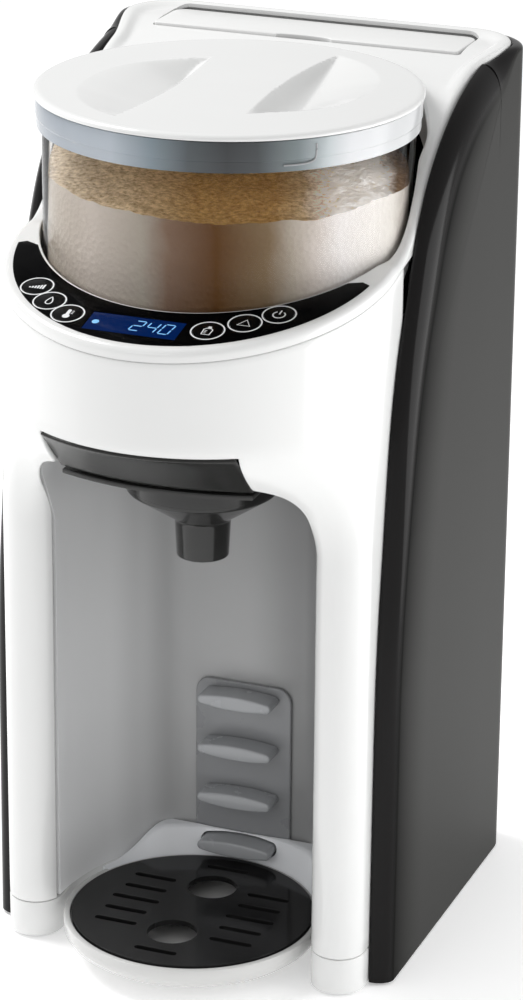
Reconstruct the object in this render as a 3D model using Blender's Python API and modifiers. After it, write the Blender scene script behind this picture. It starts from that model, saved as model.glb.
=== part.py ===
"""Countertop infant-formula dispenser, modelled as an assembly of separate pieces.

Units: metres in Blender, millimetres in the constants below (MM converts).
Frame: +Z up, -Y is the front, origin on the table under the middle of the
bounding box.  The plan layout below is drawn about the tray centre and moved
back by YC so that the finished machine is centred on the origin.
"""
import bpy
import bmesh
from math import sin, cos, tan, pi, radians, degrees, hypot, atan, atan2, sqrt
from mathutils import Matrix, Vector

MM = 0.001
YC = 46.65           # plan shift: tray centre -> middle of the footprint

# ---- overall body -------------------------------------------------------
BODY_X = 84.0        # half width of the white shell
SIDE_X = 93.9        # half width over the dark side panels
REAR_X = 58.0        # where a side panel ends on the back
REAR_Y = 165.0       # back of the side panels
NOSE_Y = 12.3        # centre of the round front
NOSE_R = 84.0        # radius of the round front
WALL = 2.5           # moulding wall
SEAM_Z = 18.3        # seam between foot band and front shell
GAP = 0.3            # clearance between neighbouring pieces

# ---- control deck (a plane that falls towards the front) ----------------
DECK_Z0 = 319.0      # height of the overlay plane at y = 0
DECK_SLOPE = 0.226
DECK_DROP = 1.55     # overlay stands this much proud of the deck
DECK_A = atan(DECK_SLOPE)

# ---- powder container ---------------------------------------------------
HOP_Y = 39.1         # container axis
HOP_R = 78.4
SEAT_R = 79.6
LID_R = 81.9
LID_Z = 384.5

# ---- bottle bay ---------------------------------------------------------
BAY_X = 60.4         # half width of the opening between the pillars
BAY_TOP = 238.5      # ceiling
BAY_BACK = 61.5      # front face of the back wall
PEG_Z = (98.3, 74.1, 50.0, 25.8)
PEG_HALF = 17.6
PEG_Y = 47.4

# ---- funnel and tray ----------------------------------------------------
FUN_Y = 11.1         # spout axis
TRAY_R = 57.0
GRILLE_R = 53.5
GRILLE_Z = 19.1

# ---- drive --------------------------------------------------------------
GEAR_M = 1.0
GEAR_T = 24
PINION_T = 12
GEAR_Z = (268.0, 274.0)
PINION_Y = HOP_Y + GEAR_M * (GEAR_T + PINION_T) / 2 + 0.1

# ---- water tank ---------------------------------------------------------
TANK_X = 70.0
TANK_Y = (126.6, 156.8)
TANK_Z = (56.0, 379.5)

# key positions on the deck: name -> (x, y)
KEYS = {
    "key_powder": (-55.0, -35.0), "key_water": (-45.0, -44.6),
    "key_heat": (-33.5, -52.3), "key_unit": (27.5, -51.6),
    "key_start": (40.0, -42.6), "key_power": (51.0, -33.0),
}
KEY_R = 6.0
KEY_TRAVEL = 0.6

# panel front edge and deck profile in side view, (y, z)
PANEL_EDGE = ((-3.5, 1.5), (-2.2, 135), (-0.7, 163), (2.9, 193), (8, 239),
              (12.2, 265), (17.7, 285), (25.5, 300), (31, 316), (37.5, 334),
              (45, 346), (57, 357), (71, 367), (88, 376), (107, 381.5),
              (128, 384.5), (144, 385.5))
TOP_EDGE = ((20, 321.0), (29, 324.8), (37, 331.5), (46, 342), (57, 353.5),
            (71, 365), (88, 375.5), (107, 382.5), (125, 386.3), (140, 387.8),
            (166, 388.0))

for o in list(bpy.data.objects):
    bpy.data.objects.remove(o, do_unlink=True)

PARTS = bpy.data.collections.new("formula_dispenser")
TOOLS = bpy.data.collections.new("cutters")
bpy.context.scene.collection.children.link(PARTS)
bpy.context.scene.collection.children.link(TOOLS)


# ========================================================================
# helpers
# ========================================================================
def W(x, y, z):
    """Drawing millimetres (about the tray centre) to world metres."""
    return Vector((x * MM, (y - YC) * MM, z * MM))


def paint(obj, rgb, rough=0.4, metal=0.0, alpha=1.0, transmission=0.0):
    m = bpy.data.materials.new(obj.name + "_mat")
    m.use_nodes = True
    b = m.node_tree.nodes["Principled BSDF"]
    b.inputs["Base Color"].default_value = (*rgb, 1.0)
    b.inputs["Roughness"].default_value = rough
    b.inputs["Metallic"].default_value = metal
    b.inputs["Alpha"].default_value = alpha
    b.inputs["Transmission Weight"].default_value = transmission
    m.diffuse_color = (*rgb, alpha)
    obj.data.materials.clear()
    obj.data.materials.append(m)


WHITE = dict(rgb=(0.86, 0.865, 0.875), rough=0.18)
LINER = dict(rgb=(0.66, 0.67, 0.69), rough=0.35)
DARK = dict(rgb=(0.035, 0.033, 0.032), rough=0.16)
BLACK = dict(rgb=(0.01, 0.01, 0.011), rough=0.12)
SMOKE = dict(rgb=(0.09, 0.09, 0.085), rough=0.12, transmission=0.5)
CLEAR = dict(rgb=(0.9, 0.92, 0.93), rough=0.05, transmission=0.9)
GREY = dict(rgb=(0.48, 0.49, 0.5), rough=0.4)
STEEL = dict(rgb=(0.62, 0.62, 0.63), rough=0.3, metal=1.0)
RUBBER = dict(rgb=(0.03, 0.03, 0.03), rough=0.85)
SILICONE = dict(rgb=(0.82, 0.84, 0.85), rough=0.5, transmission=0.3)
BOARD = dict(rgb=(0.02, 0.14, 0.07), rough=0.5)
ACETAL = dict(rgb=(0.9, 0.9, 0.87), rough=0.4)


def finish(obj, look, cutter=False, smooth=40):
    for c in list(obj.users_collection):
        c.objects.unlink(obj)
    (TOOLS if cutter else PARTS).objects.link(obj)
    if cutter:
        obj.hide_render = True
        obj.display_type = 'WIRE'
    else:
        paint(obj, **look)
        if smooth:
            obj.data.shade_smooth()
            obj.data.set_sharp_from_angle(angle=radians(smooth))
    return obj


def from_bm(name, bm, look=WHITE, cutter=False, smooth=40):
    me = bpy.data.meshes.new(name)
    bmesh.ops.recalc_face_normals(bm, faces=bm.faces[:])
    bm.to_mesh(me)
    bm.free()
    obj = bpy.data.objects.new(name, me)
    bpy.context.scene.collection.objects.link(obj)
    return finish(obj, look, cutter, smooth)


def set_origin(obj, x, y, z):
    """Move the object's origin to a point of the drawing, keeping its place."""
    p = W(x, y, z)
    d = p - obj.location
    obj.data.transform(Matrix.Translation(-d))
    obj.location = p
    return obj


def box(name, x0, x1, y0, y1, z0, z1, look=WHITE, bevel=0.0, seg=2, cutter=False):
    bm = bmesh.new()
    bmesh.ops.create_cube(bm, size=1.0)
    for v in bm.verts:
        v.co = W(x0 + (v.co.x + 0.5) * (x1 - x0), y0 + (v.co.y + 0.5) * (y1 - y0),
                 z0 + (v.co.z + 0.5) * (z1 - z0))
    obj = from_bm(name, bm, look, cutter)
    if bevel:
        m = obj.modifiers.new("edge", 'BEVEL')
        m.width = bevel * MM
        m.segments = seg
        m.limit_method = 'ANGLE'
    return obj


def outline(name, loops, t0, t1, frame=None, look=WHITE, cutter=False, smooth=40):
    """Flat outline (one or more closed loops) as a filled 2D curve, extruded
    from t0 to t1 along the frame's normal and made a mesh."""
    cu = bpy.data.curves.new(name + "_outline", 'CURVE')
    cu.dimensions = '2D'
    cu.fill_mode = 'BOTH'
    cu.extrude = abs(t1 - t0) * MM / 2
    for pts in loops:
        sp = cu.splines.new('POLY')
        sp.points.add(len(pts) - 1)
        for p, (a, b) in zip(sp.points, pts):
            p.co = (a * MM, b * MM, 0, 1)
        sp.use_cyclic_u = True
    tmp = bpy.data.objects.new(name + "_curve", cu)
    bpy.context.scene.collection.objects.link(tmp)
    bpy.context.view_layer.update()
    dg = bpy.context.evaluated_depsgraph_get()
    me = bpy.data.meshes.new_from_object(tmp.evaluated_get(dg))
    me.name = name
    bpy.data.objects.remove(tmp, do_unlink=True)
    bpy.data.curves.remove(cu)
    bm = bmesh.new()
    bm.from_mesh(me)
    bmesh.ops.remove_doubles(bm, verts=bm.verts[:], dist=1e-6)
    bmesh.ops.translate(bm, verts=bm.verts[:], vec=(0, 0, (t0 + t1) / 2 * MM))
    bmesh.ops.transform(bm, matrix=frame or PLAN, verts=bm.verts[:])
    bm.to_mesh(me)
    bm.free()
    obj = bpy.data.objects.new(name, me)
    bpy.context.scene.collection.objects.link(obj)
    bm = bmesh.new()
    bm.from_mesh(me)
    bmesh.ops.recalc_face_normals(bm, faces=bm.faces[:])
    bm.to_mesh(me)
    bm.free()
    return finish(obj, look, cutter, smooth)


# frames for outlines: plan (x, y) up z; side (y, z) along x; front (x, z) along y
PLAN = Matrix.Translation(W(0, 0, 0))
SIDE = Matrix.Translation(W(0, 0, 0)) @ Matrix(((0, 0, 1, 0), (1, 0, 0, 0), (0, 1, 0, 0), (0, 0, 0, 1)))
FRONT = Matrix.Translation(W(0, 0, 0)) @ Matrix(((1, 0, 0, 0), (0, 0, -1, 0), (0, 1, 0, 0), (0, 0, 0, 1)))
DECK_Y0 = -50.0
DECK = (Matrix.Translation(W(0, DECK_Y0, DECK_Z0 + DECK_SLOPE * DECK_Y0))
        @ Matrix.Rotation(DECK_A, 4, 'X'))


def on_deck(x, y):
    """Plan point to the tilted deck's own coordinates."""
    return (x, (y - DECK_Y0) / cos(DECK_A))


def lathe(name, profile, x, y, look=WHITE, steps=48, cutter=False, smooth=40):
    """Turned piece: (r, z) profile on a Screw modifier about a vertical axis.
    A profile that starts and ends on the axis is a solid; otherwise it closes."""
    axis = profile[0][0] == 0 and profile[-1][0] == 0
    area = sum(a[0] * b[1] - b[0] * a[1]
               for a, b in zip(profile, profile[1:] + profile[:1]))
    pts = list(profile) if area < 0 else list(reversed(profile))
    me = bpy.data.meshes.new(name)
    verts = [(r * MM, 0, z * MM) for r, z in pts]
    edges = [(i, i + 1) for i in range(len(pts) - 1)]
    if not axis:
        edges.append((len(pts) - 1, 0))
    me.from_pydata(verts, edges, [])
    obj = bpy.data.objects.new(name, me)
    obj.location = W(x, y, 0)
    bpy.context.scene.collection.objects.link(obj)
    s = obj.modifiers.new("turn", 'SCREW')
    s.angle = 2 * pi
    s.steps = s.render_steps = steps
    s.use_merge_vertices = True
    s.merge_threshold = 0.00001
    s.use_smooth_shade = True
    return finish(obj, look, cutter, smooth=0)


def rod(name, r, x, y, z0, z1, look=STEEL, seg=24, cutter=False):
    bm = bmesh.new()
    bmesh.ops.create_cone(bm, cap_ends=True, segments=seg, radius1=r * MM,
                          radius2=r * MM, depth=abs(z1 - z0) * MM)
    bmesh.ops.translate(bm, verts=bm.verts[:], vec=W(x, y, (z0 + z1) / 2))
    return from_bm(name, bm, look, cutter)


def rod_dir(name, r, p, q, look=STEEL, seg=24, cutter=False):
    a, b = W(*p), W(*q)
    d = b - a
    bm = bmesh.new()
    bmesh.ops.create_cone(bm, cap_ends=True, segments=seg, radius1=r * MM,
                          radius2=r * MM, depth=d.length)
    m = Matrix.Translation((a + b) / 2) @ d.to_track_quat('Z', 'Y').to_matrix().to_4x4()
    bmesh.ops.transform(bm, matrix=m, verts=bm.verts[:])
    return from_bm(name, bm, look, cutter)


def boolean(obj, tool, op='DIFFERENCE'):
    m = obj.modifiers.new(op.lower(), 'BOOLEAN')
    m.object = tool
    m.operation = op
    m.solver = 'EXACT'
    if tool.name in PARTS.objects:
        PARTS.objects.unlink(tool)
        TOOLS.objects.link(tool)
    tool.hide_render = True
    tool.display_type = 'WIRE'
    return obj


def tube(name, pts, r, look):
    """A hose on a smooth curve through pts (Catmull-Rom, sampled by arc)."""
    P = [W(*p) for p in pts]
    P = [2 * P[0] - P[1]] + P + [2 * P[-1] - P[-2]]
    out = []
    for i in range(1, len(P) - 2):
        for k in range(3):
            t = k / 3
            out.append(0.5 * ((2 * P[i]) + (P[i + 1] - P[i - 1]) * t
                              + (2 * P[i - 1] - 5 * P[i] + 4 * P[i + 1] - P[i + 2]) * t * t
                              + (-P[i - 1] + 3 * P[i] - 3 * P[i + 1] + P[i + 2]) * t ** 3))
    out.append(P[-2])
    cu = bpy.data.curves.new(name, 'CURVE')
    cu.dimensions = '3D'
    cu.bevel_depth = r * MM
    cu.bevel_resolution = 2
    cu.use_fill_caps = True
    sp = cu.splines.new('POLY')
    sp.points.add(len(out) - 1)
    for a, b in zip(sp.points, out):
        a.co = (*b, 1)
    obj = bpy.data.objects.new(name, cu)
    bpy.context.scene.collection.objects.link(obj)
    for c in list(obj.users_collection):
        c.objects.unlink(obj)
    PARTS.objects.link(obj)
    paint(obj, **look)
    return obj


# ---- plan shapes --------------------------------------------------------
def arc(cx, cy, r, a0, a1, n):
    """Points of an arc; angles in degrees from +X, counter-clockwise."""
    return [(cx + r * cos(radians(a0 + (a1 - a0) * i / n)),
             cy + r * sin(radians(a0 + (a1 - a0) * i / n))) for i in range(n + 1)]


def body_plan(off=0.0, rear=162.4, rc=34.0, n=20):
    """Round-nosed plan of the upper body, inset by off."""
    x = BODY_X - off
    pts = arc(0, NOSE_Y, NOSE_R - off, 180, 360, n)
    pts += arc(x - rc, rear - off - rc, rc, 0, 90, 5)
    pts += arc(-(x - rc), rear - off - rc, rc, 90, 180, 5)
    return pts


def top_plan(off=0.0, n=20):
    """Plan of the top cover: it flares a little towards the back."""
    half = [(84.6, 116), (86.2, 124), (88.2, 132)] + arc(67.5, 140.4, 22.0, 0, 90, 6)
    half = [(84.0, 108)] + half
    half = [(x - off, y - (off if y > 150 else 0.0)) for x, y in half]
    return arc(0, NOSE_Y, NOSE_R - off, 180, 360, n) + half + [(-x, y) for x, y in reversed(half)]


def foot_plan(off=0.0, rear=161.0):
    """Plan at the foot: two round pillar noses and the bay between them."""
    r = 12.0 - off
    cx = BODY_X - 12.0
    right = [(BAY_X - 0.4 + off, 64.0 + off), (BAY_X - 0.4 + off, -8.0)]
    right += arc(cx, -8.0, r, 180, 360, 6)[1:]
    right += arc(BODY_X - 34.0, rear - 34.0, 34.0 - off, 0, 90, 5)
    left = [(-x, y) for x, y in reversed(right)]
    return right + left


def bay_plan(off=0.0):
    """Plan of the bottle bay: the walls close in towards the back."""
    half = [(BAY_X, -4.8), (59.6, 6.0), (56.4, 22.0), (49.8, 38.0), (41.5, 51.0),
            (36.5, 57.5), (31.0, BAY_BACK)]
    out = []
    for i, (x, y) in enumerate(half):
        a = half[max(i - 1, 0)]
        b = half[min(i + 1, len(half) - 1)]
        tx, ty = b[0] - a[0], b[1] - a[1]
        L = hypot(tx, ty)
        nx, ny = ty / L, -tx / L
        if i == len(half) - 1:
            nx, ny = 0.25, 1.0
        out.append((x + off * nx, y + off * ny))
    return out + [(-x, y) for x, y in reversed(out)]


def top_z(y):
    """Height of the deck, shoulders and top rim along the side view."""
    plane = DECK_Z0 - DECK_DROP + DECK_SLOPE * y
    if y <= TOP_EDGE[0][0]:
        return min(plane, TOP_EDGE[0][1])
    for (a, za), (b, zb) in zip(TOP_EDGE, TOP_EDGE[1:]):
        if y <= b:
            return za + (zb - za) * (y - a) / (b - a)
    return TOP_EDGE[-1][1]


def top_profile(drop, low):
    """Side-view polygon under the deck and shoulders, down to a line."""
    ys = [-90, 12] + [p[0] for p in TOP_EDGE]
    up = [(y, top_z(y) - drop) for y in ys]
    return up + [(166, low(166)), (-90, low(-90))]


def seam_line(y):
    """Seam between front shell and top cover: the deck plane lowered."""
    return DECK_Z0 - 5.6 + DECK_SLOPE * y


# ========================================================================
# 1. foot, base and covers
# ========================================================================
base = outline("base_frame", [foot_plan(0.0), foot_plan(2.4)], 1.5, 18.0, look=WHITE)
for i, (x, y) in enumerate(((-66, 148), (66, 148), (-72, -7), (72, -7))):
    post = lathe(f"boss_{i}", [(4.6, 17.6), (4.6, 5.6), (1.9, 5.6), (1.9, 17.6)], x, y, steps=8, cutter=True)
    if y > 100:
        web = box(f"boss_web_{i}", min(x, x * 75.2 / 66), max(x, x * 75.2 / 66), y - 1.2, y + 1.2, 6, 17, cutter=True)
        bore = rod(f"boss_bore_{i}", 1.9, x, y, 0, 20, seg=8, cutter=True)
        boolean(base, web, 'UNION')
        boolean(base, post, 'UNION')
        boolean(base, bore)
    else:
        web = box(f"boss_web_{i}", x - 1.2, x + 1.2, y - 12, y, 6, 17, cutter=True)
        bore = rod(f"boss_bore_{i}", 1.9, x, y, 0, 20, seg=8, cutter=True)
        boolean(base, web, 'UNION')
        boolean(base, post, 'UNION')
        boolean(base, bore)
    rod(f"base_screw_{i + 1}", 1.5, x, y, 2.6, 14.0, look=STEEL, seg=8)
    head = rod(f"screw_head_{i}", 2.9, x, y, 1.6, 2.9, look=STEEL, seg=10, cutter=True)
    boolean(bpy.data.objects[f"base_screw_{i + 1}"], head, 'UNION')

plate = outline("bottom_plate", [foot_plan(2.8)], 3.2, 5.2, look=DARK)
for i, (x, y) in enumerate(((-66, 148), (66, 148), (-72, -7), (72, -7))):
    boolean(plate, rod(f"plate_hole_{i}", 1.85, x, y, 0, 10, seg=8, cutter=True))
for i, (x, y) in enumerate(((-70, 134), (70, 134), (-72, 14), (72, 14))):
    lathe(f"rubber_foot_{i + 1}", [(0, 0), (7.4, 0), (8.0, 0.6), (8.0, 2.9), (0, 2.9)],
          x, y, look=RUBBER, steps=14)


def side_panel(name, s):
    """Dark side cover: a 2.5 mm shell with a rounded outer edge."""
    pts = list(PANEL_EDGE) + [(REAR_Y, 386.5), (REAR_Y, 1.5)]
    bm = bmesh.new()
    vin = [bm.verts.new(W(s * REAR_X, y, z)) for y, z in pts]
    vout = [bm.verts.new(W(s * SIDE_X, y, z)) for y, z in pts]
    bm.faces.new(vin)
    bm.faces.new(list(reversed(vout)))
    n = len(pts)
    for i in range(n):
        j = (i + 1) % n
        bm.faces.new((vin[j], vin[i], vout[i], vout[j]))
    bmesh.ops.recalc_face_normals(bm, faces=bm.faces[:])
    bm.edges.ensure_lookup_table()
    outer = set(vout)
    low = (1.5 + 0.1) * MM
    edges = [e for e in bm.edges if e.verts[0] in outer and e.verts[1] in outer
             and not (e.verts[0].co.z < low and e.verts[1].co.z < low)]
    bmesh.ops.bevel(bm, geom=edges, offset=7.5 * MM, segments=3, profile=0.5, affect='EDGES', clamp_overlap=False)
    obj = from_bm(name, bm, DARK)
    # pocket that leaves the wall
    P = []
    for i in range(n):
        a, b, c = Vector(pts[i - 1]), Vector(pts[i]), Vector(pts[(i + 1) % n])
        d1, d2 = (b - a).normalized(), (c - b).normalized()
        n1, n2 = Vector((d1.y, -d1.x)), Vector((d2.y, -d2.x))
        m = (n1 + n2).normalized()
        k = 4.2 / max(0.5, m.dot(n1))
        P.append((b.x + m.x * k, b.y + m.y * k))
    P = [p for p in P]
    fr = SIDE
    x0, x1 = (82.0, 91.2) if s > 0 else (-91.2, -82.0)
    cut = outline(name + "_pocket", [P], x0, x1, frame=fr, cutter=True)
    boolean(cut, box(name + "_pocket_end", -100, 100, -30, 118, -20, 400, cutter=True), 'INTERSECT')
    boolean(obj, cut)
    # the shell is wrapped round the rear corners of the body
    x = BODY_X + GAP
    inside = [(-x, -60), (x, -60)] + arc(x - 24, 162.4 + GAP - 24, 24, 0, 90, 6) + arc(24 - x, 162.4 + GAP - 24, 24, 90, 180, 6)
    boolean(obj, outline(name + "_inside", [inside], -10, 400, cutter=True))
    boolean(obj, outline(name + "_top_inside", [top_plan(-GAP)], 336, 400, cutter=True))
    corner = arc(72.9, 144.0, 21.0, 0, 90, 8)
    outside = [(-SIDE_X - 1, -60), (SIDE_X + 1, -60), (SIDE_X + 1, 100), (SIDE_X, 110)] + corner + [(-q, y) for q, y in reversed(corner)] + [(-SIDE_X, 110), (-SIDE_X - 1, 100)]
    boolean(obj, outline(name + "_outside", [outside], -10, 400, cutter=True), 'INTERSECT')
    return obj


side_panel("left_side_panel", -1)
side_panel("right_side_panel", 1)

# ---- front shell: round face above, two pillars below -------------------
def shell_face(off=0.0):
    """Loft from the pillar plan at the foot to the round face above."""
    def low(t):
        # t 0..1 from the left flank round to the middle
        pts = [(-BODY_X, 24.0), (-BODY_X, 8.0), (-BODY_X, -8.0)]
        pts += [(-72 - 12 * cos(radians(a)), -8 - 12 * sin(radians(a))) for a in range(30, 181, 30)]
        pts += [(-40, -8.2), (-20, -8.2), (0, -8.2)]
        return pts
    def high():
        n = len(low(0))
        pts = [(-BODY_X, 24.0), (-BODY_X, 12.3)]
        for i in range(n - 2):
            a = 4 + (90 - 4) * (i / (n - 3))
            pts.append((-NOSE_R * cos(radians(a)), NOSE_Y - NOSE_R * sin(radians(a))))
        return pts
    L, H = low(0), high()
    L = L + [(-x, y) for x, y in reversed(L[:-1])]
    H = H + [(-x, y) for x, y in reversed(H[:-1])]
    rows = [SEAM_Z, 110, 200, 211, 221, 231, 241, 251, 261, None]
    bm = bmesh.new()
    grid = []
    for z in rows:
        r = []
        for (xl, yl), (xh, yh) in zip(L, H):
            g = 0.0 if z is None else min(1.0, max(0.0, (262 - z) / 60.0))
            g = g * g * (3 - 2 * g)
            x, y = xh + (xl - xh) * g, yh + (yl - yh) * g
            zz = seam_line(y) if z is None else z
            r.append(bm.verts.new(W(x, y, zz)))
        grid.append(r)
    for a, b in zip(grid, grid[1:]):
        for i in range(len(a) - 1):
            bm.faces.new((a[i], a[i + 1], b[i + 1], b[i]))
    me = bpy.data.meshes.new("front_shell")
    bm.to_mesh(me)
    bm.free()
    obj = bpy.data.objects.new("front_shell", me)
    bpy.context.scene.collection.objects.link(obj)
    s = obj.modifiers.new("wall", 'SOLIDIFY')
    s.thickness = WALL * MM
    s.offset = -1.0
    s.use_even_offset = True
    s.use_quality_normals = True
    return finish(obj, WHITE, smooth=50)


def arch(half, z0, ztop, r, n=5):
    """Arched opening in front view (x, z)."""
    return [(-half, z0), (half, z0)] + arc(half - r, ztop - r, r, 0, 90, n) + arc(-half + r, ztop - r, r, 90, 180, n)


front = shell_face()
bay_cut = outline("bay_opening", [arch(BAY_X - 0.9, 0, BAY_TOP, 20)], -30.0, 120.0, frame=FRONT, cutter=True)
cover_cut = outline("cover_opening", [[(-43.9, 230), (43.9, 230), (43.9, 257.2), (-43.9, 257.2)]], 30.0, 120.0, frame=FRONT, cutter=True)
boolean(front, bay_cut)
boolean(front, cover_cut)

# ---- top cover: deck, shoulders, rim and the container seat -------------
top = outline("top_cover", [top_plan(0.0)], 285, 395, look=WHITE)
boolean(top, outline("top_limit", [top_profile(0.0, seam_line_up := (lambda y: seam_line(y) + GAP))], -120, 120, frame=SIDE, cutter=True), 'INTERSECT')
hollow = outline("top_hollow", [top_plan(WALL)], 200, 394, cutter=True)
boolean(hollow, outline("top_hollow_limit", [top_profile(WALL, lambda y: 150.0)], -120, 120, frame=SIDE, cutter=True), 'INTERSECT')
boolean(top, hollow)
seat = lathe("seat_cup", [(81.2, 399), (81.2, 288), (60, 288), (60, 290.5), (79.0, 290.5), (79.0, 399)], 0, HOP_Y, steps=44, cutter=True)
boolean(seat, outline("seat_limit", [top_profile(0.9, lambda y: 150.0)], -120, 120, frame=SIDE, cutter=True), 'INTERSECT')
boolean(top, seat, 'UNION')
boolean(top, lathe("seat_bore", [(0, 400), (83.0, 400), (83.0, 366), (SEAT_R, 366), (SEAT_R, 290.5), (0, 290.5)], 0, HOP_Y, steps=44, cutter=True))
boolean(top, outline("tank_opening", [arc(66.1, 151.7, 6.5, 0, 90, 3) + arc(-66.1, 151.7, 6.5, 90, 180, 3) + [(-72.6, 125.2), (72.6, 125.2)]], 340, 400, cutter=True))
for name, (x, y) in KEYS.items():
    s0 = on_deck(x, y)
    boolean(top, outline("deck_hole_" + name, [arc(s0[0], s0[1], 3.5, 0, 315, 7)], -9, 4, frame=DECK, cutter=True))

# ---- rear cover and chassis --------------------------------------------
rear = outline("rear_cover", [[(-57.7, 18.4), (57.7, 18.4), (57.7, 386.5), (-57.7, 386.5)]
                              ], -REAR_Y, -162.8, frame=FRONT, look=DARK)
for k in range(6):
    boolean(rear, box(f"vent_{k}", -30, 30, 158, 168, 60 + 9 * k, 64 + 9 * k, cutter=True))
boolean(rear, box("inlet_window", 26.8, 53.2, 158, 168, 23.8, 46.2, cutter=True))

chassis = outline("chassis_frame", [[(118.6, 5.6), (121.0, 5.6), (121.0, 49.0), (160.6, 49.0),
                                     (160.6, 51.4), (121.0, 51.4), (121.0, 284), (118.6, 284)]],
                  -81.0, 81.0, frame=SIDE, look=GREY)
boolean(chassis, rod("valve_hole", 6.0, 0, 141, 40, 60, cutter=True))
boolean(chassis, rod_dir("line_hole", 6.0, (30.5, 110, 36.5), (30.5, 130, 36.5), cutter=True))
boolean(chassis, box("wire_hole", 39, 51, 110, 130, 20, 34, cutter=True))
boolean(chassis, outline("chassis_limit", [body_plan(3.0)], -10, 400, cutter=True), 'INTERSECT')

# ========================================================================
# 2. bottle bay
# ========================================================================
inner, outer = bay_plan(0.0), bay_plan(2.0)
liner = outline("cavity_liner", [inner + list(reversed(outer))], 18.6, BAY_TOP, look=LINER)
ceiling = outline("liner_ceiling", [[(56, -26), (61, -9)] + bay_plan(1.8)[1:-1] + [(-61, -9), (-56, -26)]], BAY_TOP - 0.01, BAY_TOP + 1.8, cutter=True)
boolean(liner, ceiling, 'UNION')
boolean(liner, rod("chute_hole", 14.5, 0, FUN_Y, 230, 250, seg=16, cutter=True))
boolean(liner, rod("nozzle_hole", 3.8, 20, 28, 230, 250, seg=10, cutter=True))

outline("peg_panel", [arc(15, 96, 8, 0, 90, 3) + arc(-15, 96, 8, 90, 180, 3) + [(-23, 22.5), (23, 22.5)]],
        -(BAY_BACK - GAP), -59.4, frame=FRONT, look=LINER)


def pill(z, half=PEG_HALF, mid=3.5, end=2.25, n=3):
    """Lens-like pill outline in front view."""
    top = []
    for i in range(2 * n + 1):
        u = -1 + i / n
        x = u * (half - end)
        top.append((x, z + end + (mid - end) * (1 - u * u)))
    right = arc(half - end, z, end, 60, -60, 3)
    bot = [(x, 2 * z - zz) for x, zz in reversed(top)]
    left = arc(-(half - end), z, end, 240, 120, 3)
    return top + right + bot + left


for i, z in enumerate(PEG_Z):
    p = outline(f"stand_peg_{i + 1}", [list(reversed(pill(z)))], -59.1, -PEG_Y, frame=FRONT, look=GREY)

# ========================================================================
# 3. tray
# ========================================================================
tray = lathe("tray_cup", [(0, 7.0), (50.5, 7.0), (55.5, 9.5), (TRAY_R, 13.0), (TRAY_R, 18.6), (54.3, 18.6),
                          (54.3, 15.4), (52.3, 15.4), (52.3, 11.6), (50.0, 9.2), (0, 9.2)], 0, 0, steps=40)
# upstand behind the disc: a ramp that rises to the back wall, hooked on a peg
ramp_out = [(50.4, 24.5), (48.8, 34.0), (41.6, 45.0), (35.5, 53.5), (29.5, 58.4), (0, 58.9),
            (-29.5, 58.4), (-35.5, 53.5), (-41.6, 45.0), (-48.8, 34.0), (-50.4, 24.5)]
ramp_in = arc(0, 0, 54.9, 152, 28, 14)
ramp = outline("tray_ramp", [ramp_out + ramp_in], 13.0, 33.0, cutter=True)
boolean(ramp, outline("ramp_limit", [[(20, 0), (62, 0), (62, 33.2), (58, 32.8), (50, 26.5), (44, 20.2), (36, 19.2), (20, 18.7)]],
                      -80, 80, frame=SIDE, cutter=True), 'INTERSECT')
boolean(tray, ramp, 'UNION')
boolean(tray, outline("peg_window", [list(reversed(pill(PEG_Z[3], PEG_HALF + 0.9, 4.3, 3.0)))], -80, -40, frame=FRONT, cutter=True))

gr = outline("tray_grille", [arc(0, 0, GRILLE_R, 0, 351, 39)], 16.6, GRILLE_Z, look=BLACK)
for k, y in enumerate((-23.2, 23.2)):
    boolean(gr, rod(f"grille_hole_{k}", 11.0, 0, y, 10, 25, seg=16, cutter=True))
for s in (-1, 1):
    for k in range(-2, 3):
        y = 11.3 * k
        boolean(gr, outline(f"grille_slot_{s}_{k}", [arc(s * 27.2 + 8.8, y, 1.1, -90, 90, 2) + arc(s * 27.2 - 8.8, y, 1.1, 90, 270, 2)], 10, 25, cutter=True))
for s in (-1, 1):
    boolean(gr, outline(f"grille_slot_end_{s}", [arc(8.8, s * 42.0, 1.1, -90, 90, 2) + arc(-8.8, s * 42.0, 1.1, 90, 270, 2)], 10, 25, cutter=True))

# ========================================================================
# 4. funnel
# ========================================================================
fun = lathe("funnel", [(33.2, 235.4), (33.2, 216.0), (11.6, 201.0), (11.2, 184.5), (9.7, 184.5), (10.0, 201.6),
                       (31.6, 216.8), (31.6, 235.4)], 0, FUN_Y, look=SMOKE, steps=26)
flange = outline("funnel_flange", [[(-42.6, -38.0), (42.6, -38.0), (42.6, 12.0)] + arc(0, 12, 42.6, 0, 180, 8)[1:-1] + [(-42.6, 12.0)],
                                   arc(0, FUN_Y, 32.4, 0, 345, 23)], 232.4, 234.6, cutter=True)
boolean(fun, flange, 'UNION')


def cover_sheet():
    """Sloped dark cover: follows the round face above, the slot below."""
    bm = bmesh.new()
    rows = []
    for t in (0.0, 0.5, 1.0):
        z = 255.0 - 18.4 * t
        r = []
        for i in range(9):
            x = -43.3 + 86.6 * i / 8
            y_up = NOSE_Y - sqrt((NOSE_R + 0.0) ** 2 - x * x)
            y_lo = -39.4 - 8.0 * (1 - (x / 43.3) ** 2)
            r.append(bm.verts.new(W(x, y_up + (y_lo - y_up) * t, z)))
        rows.append(r)
    for a, b in zip(rows, rows[1:]):
        for i in range(len(a) - 1):
            bm.faces.new((a[i], b[i], b[i + 1], a[i + 1]))
    me = bpy.data.meshes.new("funnel_cover")
    bm.to_mesh(me)
    bm.free()
    obj = bpy.data.objects.new("funnel_cover", me)
    bpy.context.scene.collection.objects.link(obj)
    s = obj.modifiers.new("wall", 'SOLIDIFY')
    s.thickness = 2.0 * MM
    s.offset = -1.0
    return finish(obj, SMOKE)


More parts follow.
